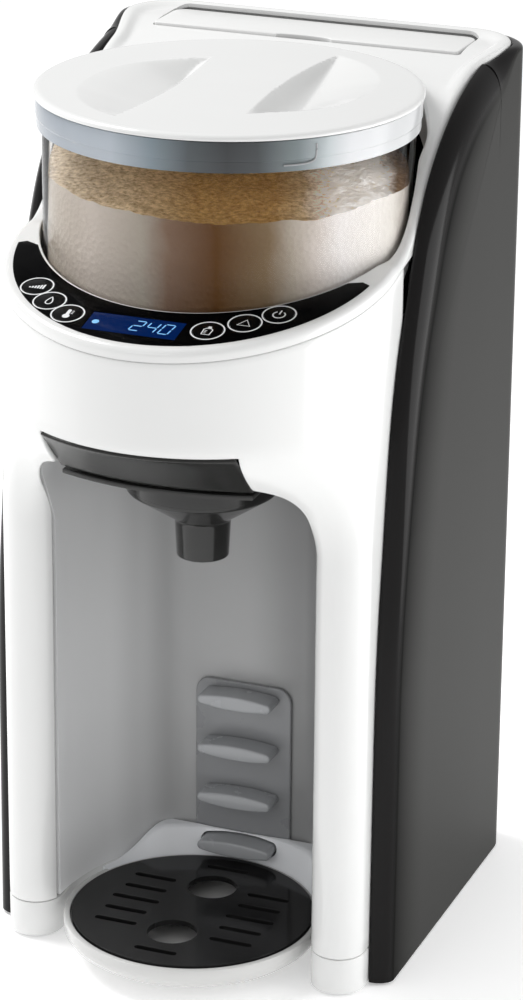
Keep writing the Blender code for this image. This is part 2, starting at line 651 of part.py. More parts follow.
cover_sheet()
for s, name in ((1, "funnel_rail_right"), (-1, "funnel_rail_left")):
    pts = [(44.6, BAY_TOP - GAP), (46.6, BAY_TOP - GAP), (46.6, 229.6), (38.6, 229.6), (38.6, 231.8), (44.6, 231.8)]
    outline(name, [[(s * x, z) for x, z in (pts if s > 0 else reversed(pts))]], -34.0, 10.0, frame=FRONT, look=LINER)

# ========================================================================
# 5. powder container, lid and dosing drive
# ========================================================================
con = lathe("powder_container", [(HOP_R, 381.0), (HOP_R, 293.2), (76.4, 291.0), (5.0, 291.0), (5.0, 293.5),
                                 (75.0, 293.5), (76.1, 295.5), (76.1, 381.0)], 0, HOP_Y, look=CLEAR, steps=44)
boolean(con, rod("dose_outlet", 9.0, 0, FUN_Y, 285, 300, seg=20, cutter=True))
lathe("lid_collar", [(80.9, 381.3), (80.9, 368.4), (78.9, 368.4), (78.9, 381.3)], 0, HOP_Y, look=SILICONE, steps=44)
lid = lathe("container_lid", [(0, LID_Z), (80.6, LID_Z), (LID_R, 383.6), (LID_R, 381.7), (75.2, 381.7), (75.2, 372.5), (0, 372.5)],
            0, HOP_Y, look=WHITE, steps=44)
set_origin(lid, 0, HOP_Y, 0)


def grip_outline(s):
    """Half-moon finger recess beside the grip bar."""
    inner = [(20.0 + 6.0 * ((k - 5) / 5) ** 2, -50 + 10 * k) for k in range(11)]
    outer = [(26.0 + 36.0 * sqrt(max(0, 1 - ((5 - k) / 5) ** 2)), 50 - 10 * k) for k in range(1, 10)]
    return [(s * x, HOP_Y + s * y) for x, y in inner + outer]


for s in (-1, 1):
    g = outline(f"grip_{s}", [grip_outline(s)], 375.0, 390.0, cutter=True)
    boolean(lid, g)
lathe("formula_powder", [(0, 347.5), (52, 346.5), (75.6, 343.0), (75.6, 304.5), (0, 304.5)], 0, HOP_Y,
      look=dict(rgb=(0.78, 0.68, 0.52), rough=0.95), steps=32)

wheel = lathe("mixing_wheel", [(0, 303.8), (8.0, 303.8), (8.0, 294.0), (4.3, 294.0), (4.3, 287.6), (0, 287.6)], 0, HOP_Y, look=ACETAL, steps=16)
for k in range(2):
    bar = box(f"vane_{k}", -71, 71, -2, 2, 294.6, 299.4, cutter=True)
    bar.data.transform(Matrix.Translation(-W(0, 0, 0)))
    bar.data.transform(Matrix.Rotation(radians(45 + 90 * k), 4, 'Z'))
    bar.data.transform(Matrix.Translation(W(0, HOP_Y, 0)))
    boolean(wheel, bar, 'UNION')
boolean(wheel, box("wheel_slot", -10, 10, HOP_Y - 1.5, HOP_Y + 1.5, 280, 290.4, cutter=True))
coup = lathe("drive_coupler", [(0, 287.2), (7.5, 287.2), (7.5, 279.0), (3.0, 279.0), (3.0, 262.0), (0, 262.0)], 0, HOP_Y, look=GREY, steps=16)
boolean(coup, box("coupler_tongue", -3.6, 3.6, HOP_Y - 1.1, HOP_Y + 1.1, 286, 290.0, cutter=True), 'UNION')


def gear_outline(teeth, y, phase, bore):
    """Straight-flanked teeth on module GEAR_M."""
    r = GEAR_M * teeth / 2
    ro, ri = r + 0.9 * GEAR_M, r - 1.15 * GEAR_M
    pts = []
    for k in range(teeth):
        c = phase + 2 * pi * k / teeth
        p = pi / teeth
        for rr, da in ((ri, -0.68 * p), (ro, -0.24 * p), (ro, 0.24 * p), (ri, 0.68 * p)):
            pts.append((rr * cos(c + da), y + rr * sin(c + da)))
    return [pts, arc(0, y, bore, 0, 330, 11)]


outline("drive_gear", gear_outline(GEAR_T, HOP_Y, pi / 2 + pi / GEAR_T, 3.3), *GEAR_Z, look=ACETAL)
outline("motor_pinion", gear_outline(PINION_T, PINION_Y, -pi / 2, 1.55), *GEAR_Z, look=ACETAL)
mot = lathe("dosing_motor", [(0, 272.5), (1.25, 272.5), (1.25, 264.5), (11.5, 264.5), (12.0, 264.0), (12.0, 243.0), (0, 243.0)],
            0, PINION_Y, look=STEEL, steps=20)
outline("gearbox_plate", [[(-16, 26.5), (14, 26.5), (14, 74), (-16, 74)], arc(0, HOP_Y, 3.35, 0, 337.5, 15),
                          arc(0, PINION_Y, 3.0, 0, 337.5, 15)], 264.9, 267.2, look=GREY)
lathe("powder_chute", [(13.4, 290.4), (13.4, 288.6), (12.4, 287.6), (12.4, 237.2), (10.8, 237.2), (10.8, 290.4)], 0, FUN_Y, look=ACETAL, steps=16)

# ========================================================================
# 6. controls
# ========================================================================
def overlay_outline(grow=0.0):
    """Crescent between the container seat and the edge of the deck."""
    R1, R2 = 79.8 + grow, 81.0 - grow
    ymax = -1.0
    a1 = degrees(atan2(ymax - NOSE_Y, sqrt(R1 ** 2 - (ymax - NOSE_Y) ** 2)))
    a2 = degrees(atan2(ymax - HOP_Y, sqrt(R2 ** 2 - (ymax - HOP_Y) ** 2)))
    outer_pts = arc(0, NOSE_Y, R1, 180 - a1, 360 + a1, 20)
    inner_pts = arc(0, HOP_Y, R2, 360 + a2, 180 - a2, 18)
    return [on_deck(x, y) for x, y in outer_pts + inner_pts]


LCD = (-23.5, 17.0, -61.4, -48.2)    # x0, x1, y0, y1 in plan
loops = [overlay_outline()]
p0, p1 = on_deck(LCD[0], LCD[2]), on_deck(LCD[1], LCD[3])
loops.append([(p0[0] - .3, p0[1] - .3), (p1[0] + .3, p0[1] - .3), (p1[0] + .3, p1[1] + .3), (p0[0] - .3, p1[1] + .3)])
for name, (x, y) in KEYS.items():
    s0 = on_deck(x, y)
    loops.append(arc(s0[0], s0[1], KEY_R + 0.35, 0, 337.5, 15))
outline("control_overlay", loops, -DECK_DROP + 0.3, 0.0, frame=DECK, look=BLACK)
outline("lcd_display", [[p0, (p1[0], p0[1]), p1, (p0[0], p1[1])]], -DECK_DROP + 0.35, -0.15, frame=DECK,
        look=dict(rgb=(0.01, 0.03, 0.12), rough=0.1))
nrm = DECK.to_3x3() @ Vector((0, 0, 1))
for name, (x, y) in KEYS.items():
    s0 = on_deck(x, y)
    key = outline(name, [arc(s0[0], s0[1], KEY_R, 0, 337.5, 15)], -0.55, 0.1, frame=DECK, look=BLACK)
    stem = outline(name + "_stem", [arc(s0[0], s0[1], 2.8, 0, 315, 7)], -6.0, -0.3, frame=DECK, cutter=True)
    boolean(key, stem, 'UNION')
    c = DECK @ Vector((s0[0] * MM, s0[1] * MM, 0))
    d = c - key.location
    key.data.transform(Matrix.Translation(-d))
    stem.data.transform(Matrix.Translation(-d))
    key.location = c
    stem.location = c
board_pts = arc(0, NOSE_Y, 79.0, 224, 316, 16) + arc(0, HOP_Y, 84.5, 304, 236, 12)
outline("display_board", [[on_deck(x, y) for x, y in board_pts]], -8.8, -7.2, frame=DECK, look=BOARD)

# ========================================================================
# 7. water tank, pump, heater, hoses, electronics
# ========================================================================
def tank_plan(off):
    x, y0, y1 = TANK_X - off, TANK_Y[0] + off, TANK_Y[1] - off
    r = 6.0 - off / 2
    return (arc(x - r, y1 - r, r, 0, 90, 2) + arc(-x + r, y1 - r, r, 90, 180, 2)
            + arc(-x + 4, y0 + 4, 4, 180, 270, 1) + arc(x - 4, y0 + 4, 4, 270, 360, 1))


tank = outline("water_tank", [tank_plan(0)], TANK_Z[0], TANK_Z[1], look=CLEAR)
boolean(tank, outline("tank_hollow", [tank_plan(2.0)], TANK_Z[0] + 2.0, TANK_Z[1] + 5, cutter=True))
boolean(tank, rod("tank_outlet", 4.6, 0, 141, 50, 62, seg=16, cutter=True))
lathe("tank_valve", [(4.2, 62.5), (4.2, 55.6), (5.5, 55.6), (5.5, 44.0), (2.5, 44.0), (2.5, 62.5)], 0, 141, look=GREY, steps=12)
LID_AX = (151.9, 382.6)
tl = outline("tank_lid", [arc(65.9, 148.7, 5.5, 0, 90, 3) + arc(-65.9, 148.7, 5.5, 90, 180, 3) + [(-71.4, 126.2), (71.4, 126.2)]],
             380.2, 385.4, look=WHITE)
boolean(tl, rod_dir("pin_bore", 1.3, (-75, LID_AX[0], LID_AX[1]), (75, LID_AX[0], LID_AX[1]), seg=12, cutter=True))
for s in (-1, 1):
    boolean(tl, box(f"knuckle_gap_{s}", min(s * 46, s * 52), max(s * 46, s * 52), 146.6, 160, 379, 386, cutter=True))
    ear = outline(f"tank_ear_{s}", [[(149.6, 370), (155.4, 370), (155.4, 379.2), (154.3, 379.2), (154.3, 383.4)] + arc(LID_AX[0], LID_AX[1], 2.4, 20, 160, 4) + [(149.6, 383.4)]],
                  min(s * 46.6, s * 51.4), max(s * 46.6, s * 51.4), frame=SIDE, cutter=True)
    boolean(tank, ear, 'UNION')
    boolean(tank, rod_dir(f"ear_bore_{s}", 1.3, (-75, LID_AX[0], LID_AX[1]), (75, LID_AX[0], LID_AX[1]), seg=12, cutter=True))
set_origin(tl, 0, LID_AX[0], LID_AX[1])
rod_dir("tank_lid_pin", 1.0, (-56, LID_AX[0], LID_AX[1]), (56, LID_AX[0], LID_AX[1]), look=STEEL, seg=12)

rod_dir("water_pump", 14.0, (18, 96, 24), (62, 96, 24), look=GREY, seg=24)
lathe("water_heater", [(0, 196), (19, 196), (21, 194), (21, 118), (19, 116), (0, 116)], -34, 92, look=STEEL, steps=20)
tube("intake_hose", [(0, 141, 43.2), (0, 141, 36), (8, 137, 30), (22, 130, 32), (30, 123, 36), (31, 117, 36), (36, 112.6, 32)], 2.6, SILICONE)
tube("heater_hose", [(17.2, 96, 24), (6, 96, 26), (-16, 95, 36), (-32, 92, 70), (-34, 92, 100), (-34, 92, 115.4)], 2.6, SILICONE)
tube("outlet_hose", [(-34, 92, 196.6), (-34, 92, 212), (-22, 96, 236), (4, 95, 256), (27, 82, 268), (33, 60, 273), (32, 42, 276), (25, 31, 275.5), (20.3, 28.2, 269), (20, 28, 262.4)], 2.6, SILICONE)
lathe("water_nozzle", [(3.2, 261.4), (3.2, 246.0), (5.0, 246.0), (5.0, 243.0), (3.2, 243.0), (2.4, 236.6), (1.2, 236.6), (1.2, 261.4)], 20, 28, look=ACETAL, steps=10)
box("main_board", -60, 12, 113.0, 114.8, 96, 206, look=BOARD)
bpy.data.objects["main_board"].data.transform(Matrix.Translation((0.045, 0, 0.0)))
inl = outline("power_inlet", [[(27.4, 24.4), (52.6, 24.4), (52.6, 45.6), (27.4, 45.6)]], -164.6, -140.0, frame=FRONT, look=BLACK)
boolean(inl, outline("inlet_recess", [arc(44, 35, 5, -90, 90, 6) + arc(36, 35, 5, 90, 270, 6)], -170, -150, frame=FRONT, cutter=True))
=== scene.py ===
import bpy
import bmesh
from math import sin, cos, tan, pi, radians, degrees, hypot, atan, atan2, sqrt, floor
from mathutils import Matrix, Vector, noise


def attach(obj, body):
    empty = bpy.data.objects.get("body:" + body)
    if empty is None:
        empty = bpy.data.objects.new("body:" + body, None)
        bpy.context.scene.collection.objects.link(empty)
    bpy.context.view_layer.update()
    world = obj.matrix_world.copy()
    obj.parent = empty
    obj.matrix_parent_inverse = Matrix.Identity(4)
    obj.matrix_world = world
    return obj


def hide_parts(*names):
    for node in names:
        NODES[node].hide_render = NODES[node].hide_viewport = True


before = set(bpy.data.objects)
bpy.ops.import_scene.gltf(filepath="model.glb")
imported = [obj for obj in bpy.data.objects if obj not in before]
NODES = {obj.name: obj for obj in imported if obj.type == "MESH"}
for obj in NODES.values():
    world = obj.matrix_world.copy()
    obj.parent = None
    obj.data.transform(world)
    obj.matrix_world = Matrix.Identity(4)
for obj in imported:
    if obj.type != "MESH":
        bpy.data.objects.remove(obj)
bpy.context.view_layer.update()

MM = 0.001
YC = 46.65            # plan shift used by the CAD drawing

# ---- the drawing's own dimensions (millimetres, about the tray centre) ----
BODY_X, SIDE_X, REAR_Y = 84.0, 93.9, 165.0
NOSE_Y, NOSE_R = 12.3, 84.0
SEAM_Z = 18.3
DECK_Z0, DECK_SLOPE = 319.0, 0.226
DECK_A = atan(DECK_SLOPE)
HOP_Y, HOP_R, SEAT_R, LID_R, LID_Z = 39.1, 78.4, 79.6, 81.9, 384.5
BAY_X, BAY_TOP, BAY_BACK, ARCH_R = 60.4, 238.5, 61.5, 20.0
FUN_Y = 11.1
TRAY_R, GRILLE_R, GRILLE_Z = 57.0, 53.5, 19.1
PEG_Z, PEG_HALF, PEG_Y = (98.3, 74.1, 50.0, 25.8), 17.6, 47.4
KEYS = {"key_powder": (-55.0, -35.0), "key_water": (-45.0, -44.6), "key_heat": (-33.5, -52.3),
        "key_unit": (27.5, -51.6), "key_start": (40.0, -42.6), "key_power": (51.0, -33.0)}
LCD = (-23.5, 17.0, -61.4, -48.2)
PANEL_EDGE = ((-3.5, 1.5), (-2.9, 70), (-2.2, 135), (-0.7, 163), (2.9, 193), (8, 239),
              (12.2, 265), (17.7, 285), (25.0, 301), (31, 316), (37.5, 333),
              (45.5, 346), (57, 357), (71, 367.2), (88, 376), (107, 381.5),
              (128, 384.5), (144, 385.5))
TOP_EDGE = ((-90, 297.1), (-40, 308.4), (10, 319.7), (20, 321.6), (29, 325.2), (37, 331.5), (46, 342), (57, 353.5),
            (71, 365), (88, 375.5), (107, 382.5), (125, 386.3), (140, 387.8), (166, 388.0))


def W(x, y, z):
    return Vector((x * MM, (y - YC) * MM, z * MM))


def lerp(a, b, t):
    return a + (b - a) * t


def smooth(t):
    t = min(1.0, max(0.0, t))
    return t * t * (3 - 2 * t)


def pchip(pts):
    """Monotone cubic through (x, y) points."""
    xs = [p[0] for p in pts]
    ys = [p[1] for p in pts]
    n = len(xs)
    h = [xs[i + 1] - xs[i] for i in range(n - 1)]
    d = [(ys[i + 1] - ys[i]) / h[i] for i in range(n - 1)]
    m = [0.0] * n
    m[0], m[-1] = d[0], d[-1]
    for i in range(1, n - 1):
        if d[i - 1] * d[i] > 0:
            w1, w2 = 2 * h[i] + h[i - 1], h[i] + 2 * h[i - 1]
            m[i] = (w1 + w2) / (w1 / d[i - 1] + w2 / d[i])

    def f(x):
        x = min(max(x, xs[0]), xs[-1])
        k = 0
        while k < n - 2 and x > xs[k + 1]:
            k += 1
        t = (x - xs[k]) / h[k]
        return ((1 + 2 * t) * (1 - t) ** 2 * ys[k] + t * (1 - t) ** 2 * h[k] * m[k]
                + t * t * (3 - 2 * t) * ys[k + 1] + t * t * (t - 1) * h[k] * m[k + 1])
    return f


def catmull(pts, per, closed=False):
    """Points of a smooth curve through 2D or 3D points."""
    P = [Vector(p) for p in pts]
    n = len(P)
    out = []
    for i in range(n if closed else n - 1):
        a = P[(i - 1) % n] if closed or i > 0 else 2 * P[0] - P[1]
        b, c = P[i], P[(i + 1) % n]
        d = P[(i + 2) % n] if closed or i + 2 < n else 2 * P[-1] - P[-2]
        for k in range(per):
            t = k / per
            out.append(0.5 * (2 * b + (c - a) * t + (2 * a - 5 * b + 4 * c - d) * t * t + (3 * b - a - 3 * c + d) * t ** 3))
    if not closed:
        out.append(P[-1])
    return out


def arc(cx, cy, r, a0, a1, n):
    return [(cx + r * cos(radians(a0 + (a1 - a0) * i / n)), cy + r * sin(radians(a0 + (a1 - a0) * i / n))) for i in range(n + 1)]


PLAN = Matrix.Translation(W(0, 0, 0))
SIDE = Matrix.Translation(W(0, 0, 0)) @ Matrix(((0, 0, 1, 0), (1, 0, 0, 0), (0, 1, 0, 0), (0, 0, 0, 1)))
FRONT = Matrix.Translation(W(0, 0, 0)) @ Matrix(((1, 0, 0, 0), (0, 0, -1, 0), (0, 1, 0, 0), (0, 0, 0, 1)))
DECK_Y0 = -50.0
DECK = Matrix.Translation(W(0, DECK_Y0, DECK_Z0 + DECK_SLOPE * DECK_Y0)) @ Matrix.Rotation(DECK_A, 4, 'X')


def on_deck(x, y):
    return (x, (y - DECK_Y0) / cos(DECK_A))


# ============================ materials ==================================
def node(nt, kind, **kw):
    n = nt.nodes.new(kind)
    for k, v in kw.items():
        setattr(n, k, v)
    return n


def surface(name, base, rough=0.3, metal=0.0, var=0.03, var_scale=18.0, rough_var=0.04, rough_scale=60.0,
            grain=0.0, grain_scale=900.0, grain_dist=0.00005, coat=0.0, coat_rough=0.05, trans=0.0, ior=1.46,
            second=None, spec=0.5, stretch=None, sheen=0.0, emit=None, emit_strength=0.0, sss=0.0):
    """Procedural plastic, metal or rubber: mottled colour, uneven gloss and a fine grain."""
    m = bpy.data.materials.new(name)
    m.use_nodes = True
    nt = m.node_tree
    b = nt.nodes["Principled BSDF"]
    tc = node(nt, "ShaderNodeTexCoord")
    mp = node(nt, "ShaderNodeMapping")
    if stretch:
        mp.inputs["Scale"].default_value = stretch
    nt.links.new(tc.outputs["Object"], mp.inputs["Vector"])
    n1 = node(nt, "ShaderNodeTexNoise")
    n1.inputs["Scale"].default_value = var_scale
    n1.inputs["Detail"].default_value = 4.0
    nt.links.new(mp.outputs["Vector"], n1.inputs["Vector"])
    ramp = node(nt, "ShaderNodeValToRGB")
    hi = second or tuple(min(1.0, c * (1 + var)) for c in base)
    lo = tuple(c * (1 - var) for c in base)
    ramp.color_ramp.elements[0].position = 0.32
    ramp.color_ramp.elements[1].position = 0.68
    ramp.color_ramp.elements[0].color = (*lo, 1)
    ramp.color_ramp.elements[1].color = (*hi, 1)
    nt.links.new(n1.outputs["Fac"], ramp.inputs["Fac"])
    nt.links.new(ramp.outputs["Color"], b.inputs["Base Color"])
    n2 = node(nt, "ShaderNodeTexNoise")
    n2.inputs["Scale"].default_value = rough_scale
    n2.inputs["Detail"].default_value = 5.0
    nt.links.new(mp.outputs["Vector"], n2.inputs["Vector"])
    mr = node(nt, "ShaderNodeMapRange")
    mr.inputs["From Min"].default_value = 0.3
    mr.inputs["From Max"].default_value = 0.7
    mr.inputs["To Min"].default_value = max(0.0, rough - rough_var)
    mr.inputs["To Max"].default_value = min(1.0, rough + rough_var)
    nt.links.new(n2.outputs["Fac"], mr.inputs["Value"])
    nt.links.new(mr.outputs["Result"], b.inputs["Roughness"])
    if grain:
        n3 = node(nt, "ShaderNodeTexNoise")
        n3.inputs["Scale"].default_value = grain_scale
        n3.inputs["Detail"].default_value = 3.0
        nt.links.new(mp.outputs["Vector"], n3.inputs["Vector"])
        bp = node(nt, "ShaderNodeBump")
        bp.inputs["Strength"].default_value = grain
        bp.inputs["Distance"].default_value = grain_dist
        nt.links.new(n3.outputs["Fac"], bp.inputs["Height"])
        nt.links.new(bp.outputs["Normal"], b.inputs["Normal"])
    b.inputs["Metallic"].default_value = metal
    b.inputs["IOR"].default_value = ior
    b.inputs["Specular IOR Level"].default_value = spec
    b.inputs["Coat Weight"].default_value = coat
    b.inputs["Coat Roughness"].default_value = coat_rough
    b.inputs["Transmission Weight"].default_value = trans
    if sss:
        b.inputs["Subsurface Weight"].default_value = sss
        b.inputs["Subsurface Scale"].default_value = 0.004
    if sheen:
        b.inputs["Sheen Weight"].default_value = sheen
    if emit:
        b.inputs["Emission Color"].default_value = (*emit, 1)
        b.inputs["Emission Strength"].default_value = emit_strength
    return m


M = {}
M["white"] = surface("white_gloss", (0.775, 0.778, 0.772), rough=0.17, var=0.008, var_scale=9, rough_var=0.03, rough_scale=35,
                     grain=0.05, grain_scale=420, coat=0.25, coat_rough=0.06)
M["white_satin"] = surface("white_satin", (0.755, 0.757, 0.75), rough=0.32, var=0.01, var_scale=12, grain=0.08, grain_scale=700)
# painted shade: the tray cup is a darker copy of the white gloss
M["cup"] = surface("cup_white_painted_shade", (0.60, 0.60, 0.592), rough=0.2, var=0.008, rough_var=0.03, rough_scale=35,
                   grain=0.05, grain_scale=420, coat=0.2, coat_rough=0.08)
M["liner"] = surface("liner_grey", (0.98, 0.985, 0.99), rough=0.36, var=0.012, var_scale=10, grain=0.10, grain_scale=1100)


def painted_shade_ramps(mat, stops_x, stops_z):
    """Painted shade: multiply the colour by one ramp across (x, -90..90 mm) and one up (z, 0..260 mm)."""
    nt = mat.node_tree
    b = nt.nodes["Principled BSDF"]
    src = b.inputs["Base Color"].links[0].from_socket
    tc = node(nt, "ShaderNodeTexCoord")
    sep = node(nt, "ShaderNodeSeparateXYZ")
    nt.links.new(tc.outputs["Object"], sep.inputs["Vector"])
    for axis, lo, hi, stops in (("X", -0.09, 0.09, stops_x), ("Z", 0.0, 0.26, stops_z)):
        mr = node(nt, "ShaderNodeMapRange")
        mr.inputs["From Min"].default_value = lo
        mr.inputs["From Max"].default_value = hi
        nt.links.new(sep.outputs[axis], mr.inputs["Value"])
        ramp = node(nt, "ShaderNodeValToRGB")
        ramp.color_ramp.interpolation = 'EASE'
        e = ramp.color_ramp.elements
        e[0].position, e[0].color = stops[0][0], (*[stops[0][1]] * 3, 1)
        e[1].position, e[1].color = stops[-1][0], (*[stops[-1][1]] * 3, 1)
        for q, c in stops[1:-1]:
            k = ramp.color_ramp.elements.new(q)
            k.color = (c, c, c, 1)
        nt.links.new(mr.outputs["Result"], ramp.inputs["Fac"])
        mx = node(nt, "ShaderNodeMix", data_type='RGBA', blend_type='MULTIPLY')
        mx.inputs["Factor"].default_value = 1.0
        nt.links.new(src, mx.inputs["A"])
        nt.links.new(ramp.outputs["Color"], mx.inputs["B"])
        src = mx.outputs["Result"]
    nt.links.new(src, b.inputs["Base Color"])


# painted shade on the liner: light on the left wall and low down, darker on the back and right walls and towards the
# ceiling
painted_shade_ramps(M["liner"], [(0.165, 1.0), (0.20, 0.92), (0.25, 0.74), (0.31, 0.48), (0.50, 0.50), (0.66, 0.33), (0.84, 0.30)], [(0.05, 1.0), (0.35, 0.92), (0.75, 0.78), (0.93, 0.55)])
M["peg_panel"] = surface("peg_panel_grey", (0.30, 0.305, 0.315), rough=0.3, var=0.012, grain=0.08, grain_scale=1100)
M["peg"] = surface("peg_grey", (0.42, 0.43, 0.445), rough=0.26, var=0.015, grain=0.06, grain_scale=900, coat=0.15)
M["dark"] = surface("dark_gloss", (0.0065, 0.006, 0.006), rough=0.16, var=0.08, var_scale=7, rough_var=0.03, rough_scale=24,
                    grain=0.04, grain_scale=260, spec=0.16)
def satin_flats_painted_reflection(mat, lo_mm, hi_mm, colour, rough):
    """Outer flats, beyond lo..hi mm from the middle plane, take a satin roughness and a lighter colour that is a
    painted reflection on the glossy black side.
    """
    nt = mat.node_tree
    b = nt.nodes["Principled BSDF"]
    old_c = b.inputs["Base Color"].links[0].from_socket
    old_r = b.inputs["Roughness"].links[0].from_socket
    tc = node(nt, "ShaderNodeTexCoord")
    sep = node(nt, "ShaderNodeSeparateXYZ")
    nt.links.new(tc.outputs["Object"], sep.inputs["Vector"])
    ab = node(nt, "ShaderNodeMath", operation='ABSOLUTE')
    nt.links.new(sep.outputs["X"], ab.inputs[0])
    mr = node(nt, "ShaderNodeMapRange")
    mr.inputs["From Min"].default_value = lo_mm * MM
    mr.inputs["From Max"].default_value = hi_mm * MM
    nt.links.new(ab.outputs["Value"], mr.inputs["Value"])
    n1 = node(nt, "ShaderNodeTexNoise")
    n1.inputs["Scale"].default_value = 6.0
    nt.links.new(tc.outputs["Object"], n1.inputs["Vector"])
    ramp = node(nt, "ShaderNodeValToRGB")
    ramp.color_ramp.elements[0].position, ramp.color_ramp.elements[1].position = 0.3, 0.7
    ramp.color_ramp.elements[0].color = (*[c * 0.96 for c in colour], 1)
    ramp.color_ramp.elements[1].color = (*[c * 1.04 for c in colour], 1)
    nt.links.new(n1.outputs["Fac"], ramp.inputs["Fac"])
    mx = node(nt, "ShaderNodeMix", data_type='RGBA')
    nt.links.new(mr.outputs["Result"], mx.inputs["Factor"])
    nt.links.new(old_c, mx.inputs["A"])
    # painted shade: darker just behind the front crease, whose depth follows the height
    zr = node(nt, "ShaderNodeMapRange")
    zr.inputs["From Max"].default_value = 0.39
    nt.links.new(sep.outputs["Z"], zr.inputs["Value"])
    line = node(nt, "ShaderNodeValToRGB")
    stops = [(0.0, 3.0), (0.35, 4.5), (0.50, 11.0), (0.61, 20.0), (0.73, 32.0), (0.82, 47.0), (0.89, 66.0), (0.96, 100.0)]
    e = line.color_ramp.elements
    e[0].position, e[1].position = stops[0][0], stops[-1][0]
    e[0].color = (*[(stops[0][1] + 50) / 200] * 3, 1)
    e[1].color = (*[(stops[-1][1] + 50) / 200] * 3, 1)
    for q, y in stops[1:-1]:
        line.color_ramp.elements.new(q).color = (*[(y + 50) / 200] * 3, 1)
    nt.links.new(zr.outputs["Result"], line.inputs["Fac"])
    yr = node(nt, "ShaderNodeMapRange")
    yr.clamp = False
    yr.inputs["From Min"].default_value = (-50 - YC) * MM
    yr.inputs["From Max"].default_value = (150 - YC) * MM
    nt.links.new(sep.outputs["Y"], yr.inputs["Value"])
    sub = node(nt, "ShaderNodeMath", operation='SUBTRACT')
    nt.links.new(yr.outputs["Result"], sub.inputs[0])
    nt.links.new(line.outputs["Color"], sub.inputs[1])
    fr = node(nt, "ShaderNodeMapRange")
    fr.inputs["From Min"].default_value = -0.01
    fr.inputs["From Max"].default_value = 0.13
    fr.inputs["To Min"].default_value = 0.25
    fr.inputs["To Max"].default_value = 1.0
    nt.links.new(sub.outputs["Value"], fr.inputs["Value"])
    shade = node(nt, "ShaderNodeVectorMath", operation='SCALE')
    nt.links.new(ramp.outputs["Color"], shade.inputs[0])
    nt.links.new(fr.outputs["Result"], shade.inputs["Scale"])
    nt.links.new(shade.outputs["Vector"], mx.inputs["B"])
    nt.links.new(mx.outputs["Result"], b.inputs["Base Color"])
    glint = node(nt, "ShaderNodeMapRange")
    glint.inputs["From Min"].default_value = -0.01
    glint.inputs["From Max"].default_value = 0.17
    glint.inputs["To Min"].default_value = 0.02
    glint.inputs["To Max"].default_value = 0.15
    nt.links.new(sub.outputs["Value"], glint.inputs["Value"])
    m3 = node(nt, "ShaderNodeMix", data_type='FLOAT')
    nt.links.new(mr.outputs["Result"], m3.inputs["Factor"])
    m3.inputs["A"].default_value = b.inputs["Specular IOR Level"].default_value
    nt.links.new(glint.outputs["Result"], m3.inputs["B"])
    nt.links.new(m3.outputs["Result"], b.inputs["Specular IOR Level"])
    m2 = node(nt, "ShaderNodeMix", data_type='FLOAT')
    nt.links.new(mr.outputs["Result"], m2.inputs["Factor"])
    nt.links.new(old_r, m2.inputs["A"])
    m2.inputs["B"].default_value = rough
    nt.links.new(m2.outputs["Result"], b.inputs["Roughness"])


# painted reflection: the flats' lighter colour, shaded down towards the front crease
satin_flats_painted_reflection(M["dark"], 93.0, 93.8, (0.0130, 0.0128, 0.0112), 0.45)
M["overlay"] = surface("overlay_black", (0.0012, 0.0012, 0.0014), rough=0.12, var=0.1, rough_var=0.03, rough_scale=80, spec=0.02)
M["grille"] = surface("grille_black", (0.012, 0.0118, 0.012), rough=0.12, var=0.1, rough_var=0.04, rough_scale=70, grain=0.06, grain_scale=500, spec=0.3)
M["key"] = surface("key_black", (0.002, 0.002, 0.0022), rough=0.22, var=0.1, rough_var=0.03, rough_scale=120, grain=0.05, grain_scale=1500, spec=0.05)
M["print"] = surface("white_print", (0.78, 0.79, 0.80), rough=0.45, var=0.02, rough_scale=300)
M["lcd"] = surface("display_blue", (0.0008, 0.003, 0.018), rough=0.09, var=0.05, var_scale=60, rough_var=0.02, spec=0.02,
                   emit=(0.0005, 0.012, 0.075), emit_strength=0.85)
M["lcd_seg"] = surface("display_segments", (0.12, 0.3, 0.5), rough=0.3, var=0.03, emit=(0.20, 0.50, 0.90), emit_strength=0.55)
M["smoke"] = surface("smoke_clear", (0.040, 0.040, 0.039), rough=0.12, spec=0.22, var=0.03, rough_var=0.03, trans=0.55, ior=1.49, coat=0.1)
M["smoke_cover"] = surface("smoke_cover", (0.030, 0.030, 0.029), rough=0.2, spec=0.15, var=0.03, rough_var=0.03, trans=0.25, ior=1.49)
M["clear"] = surface("clear_plastic", (0.985, 0.983, 0.98), rough=0.025, var=0.004, rough_var=0.012, rough_scale=14, trans=1.0, ior=1.1, spec=0.2)
M["collar"] = surface("collar_tint", (0.66, 0.735, 0.775), rough=0.14, var=0.02, var_scale=14, rough_var=0.05, trans=0.25, ior=1.42)
M["silicone"] = surface("silicone", (0.72, 0.76, 0.78), rough=0.5, var=0.03, trans=0.3, ior=1.41, grain=0.1)
M["rubber"] = surface("rubber_black", (0.016, 0.016, 0.016), rough=0.82, var=0.15, var_scale=90, grain=0.4, grain_scale=1400)
M["ramp"] = surface("ramp_grey", (0.93, 0.945, 0.97), rough=0.22, var=0.012, grain=0.05, grain_scale=600, coat=0.2)
M["acetal"] = surface("acetal", (0.78, 0.77, 0.73), rough=0.35, var=0.02, grain=0.06, sss=0.1)
M["steel"] = surface("steel", (0.56, 0.56, 0.57), rough=0.28, metal=1.0, var=0.05, stretch=(1, 1, 40), rough_var=0.1, rough_scale=90)
M["board"] = surface("circuit_board", (0.012, 0.10, 0.045), rough=0.42, var=0.2, var_scale=160, second=(0.02, 0.16, 0.07), grain=0.3, grain_scale=500)
M["grey"] = surface("grey_moulding", (0.33, 0.335, 0.345), rough=0.42, var=0.02, grain=0.12, grain_scale=900)


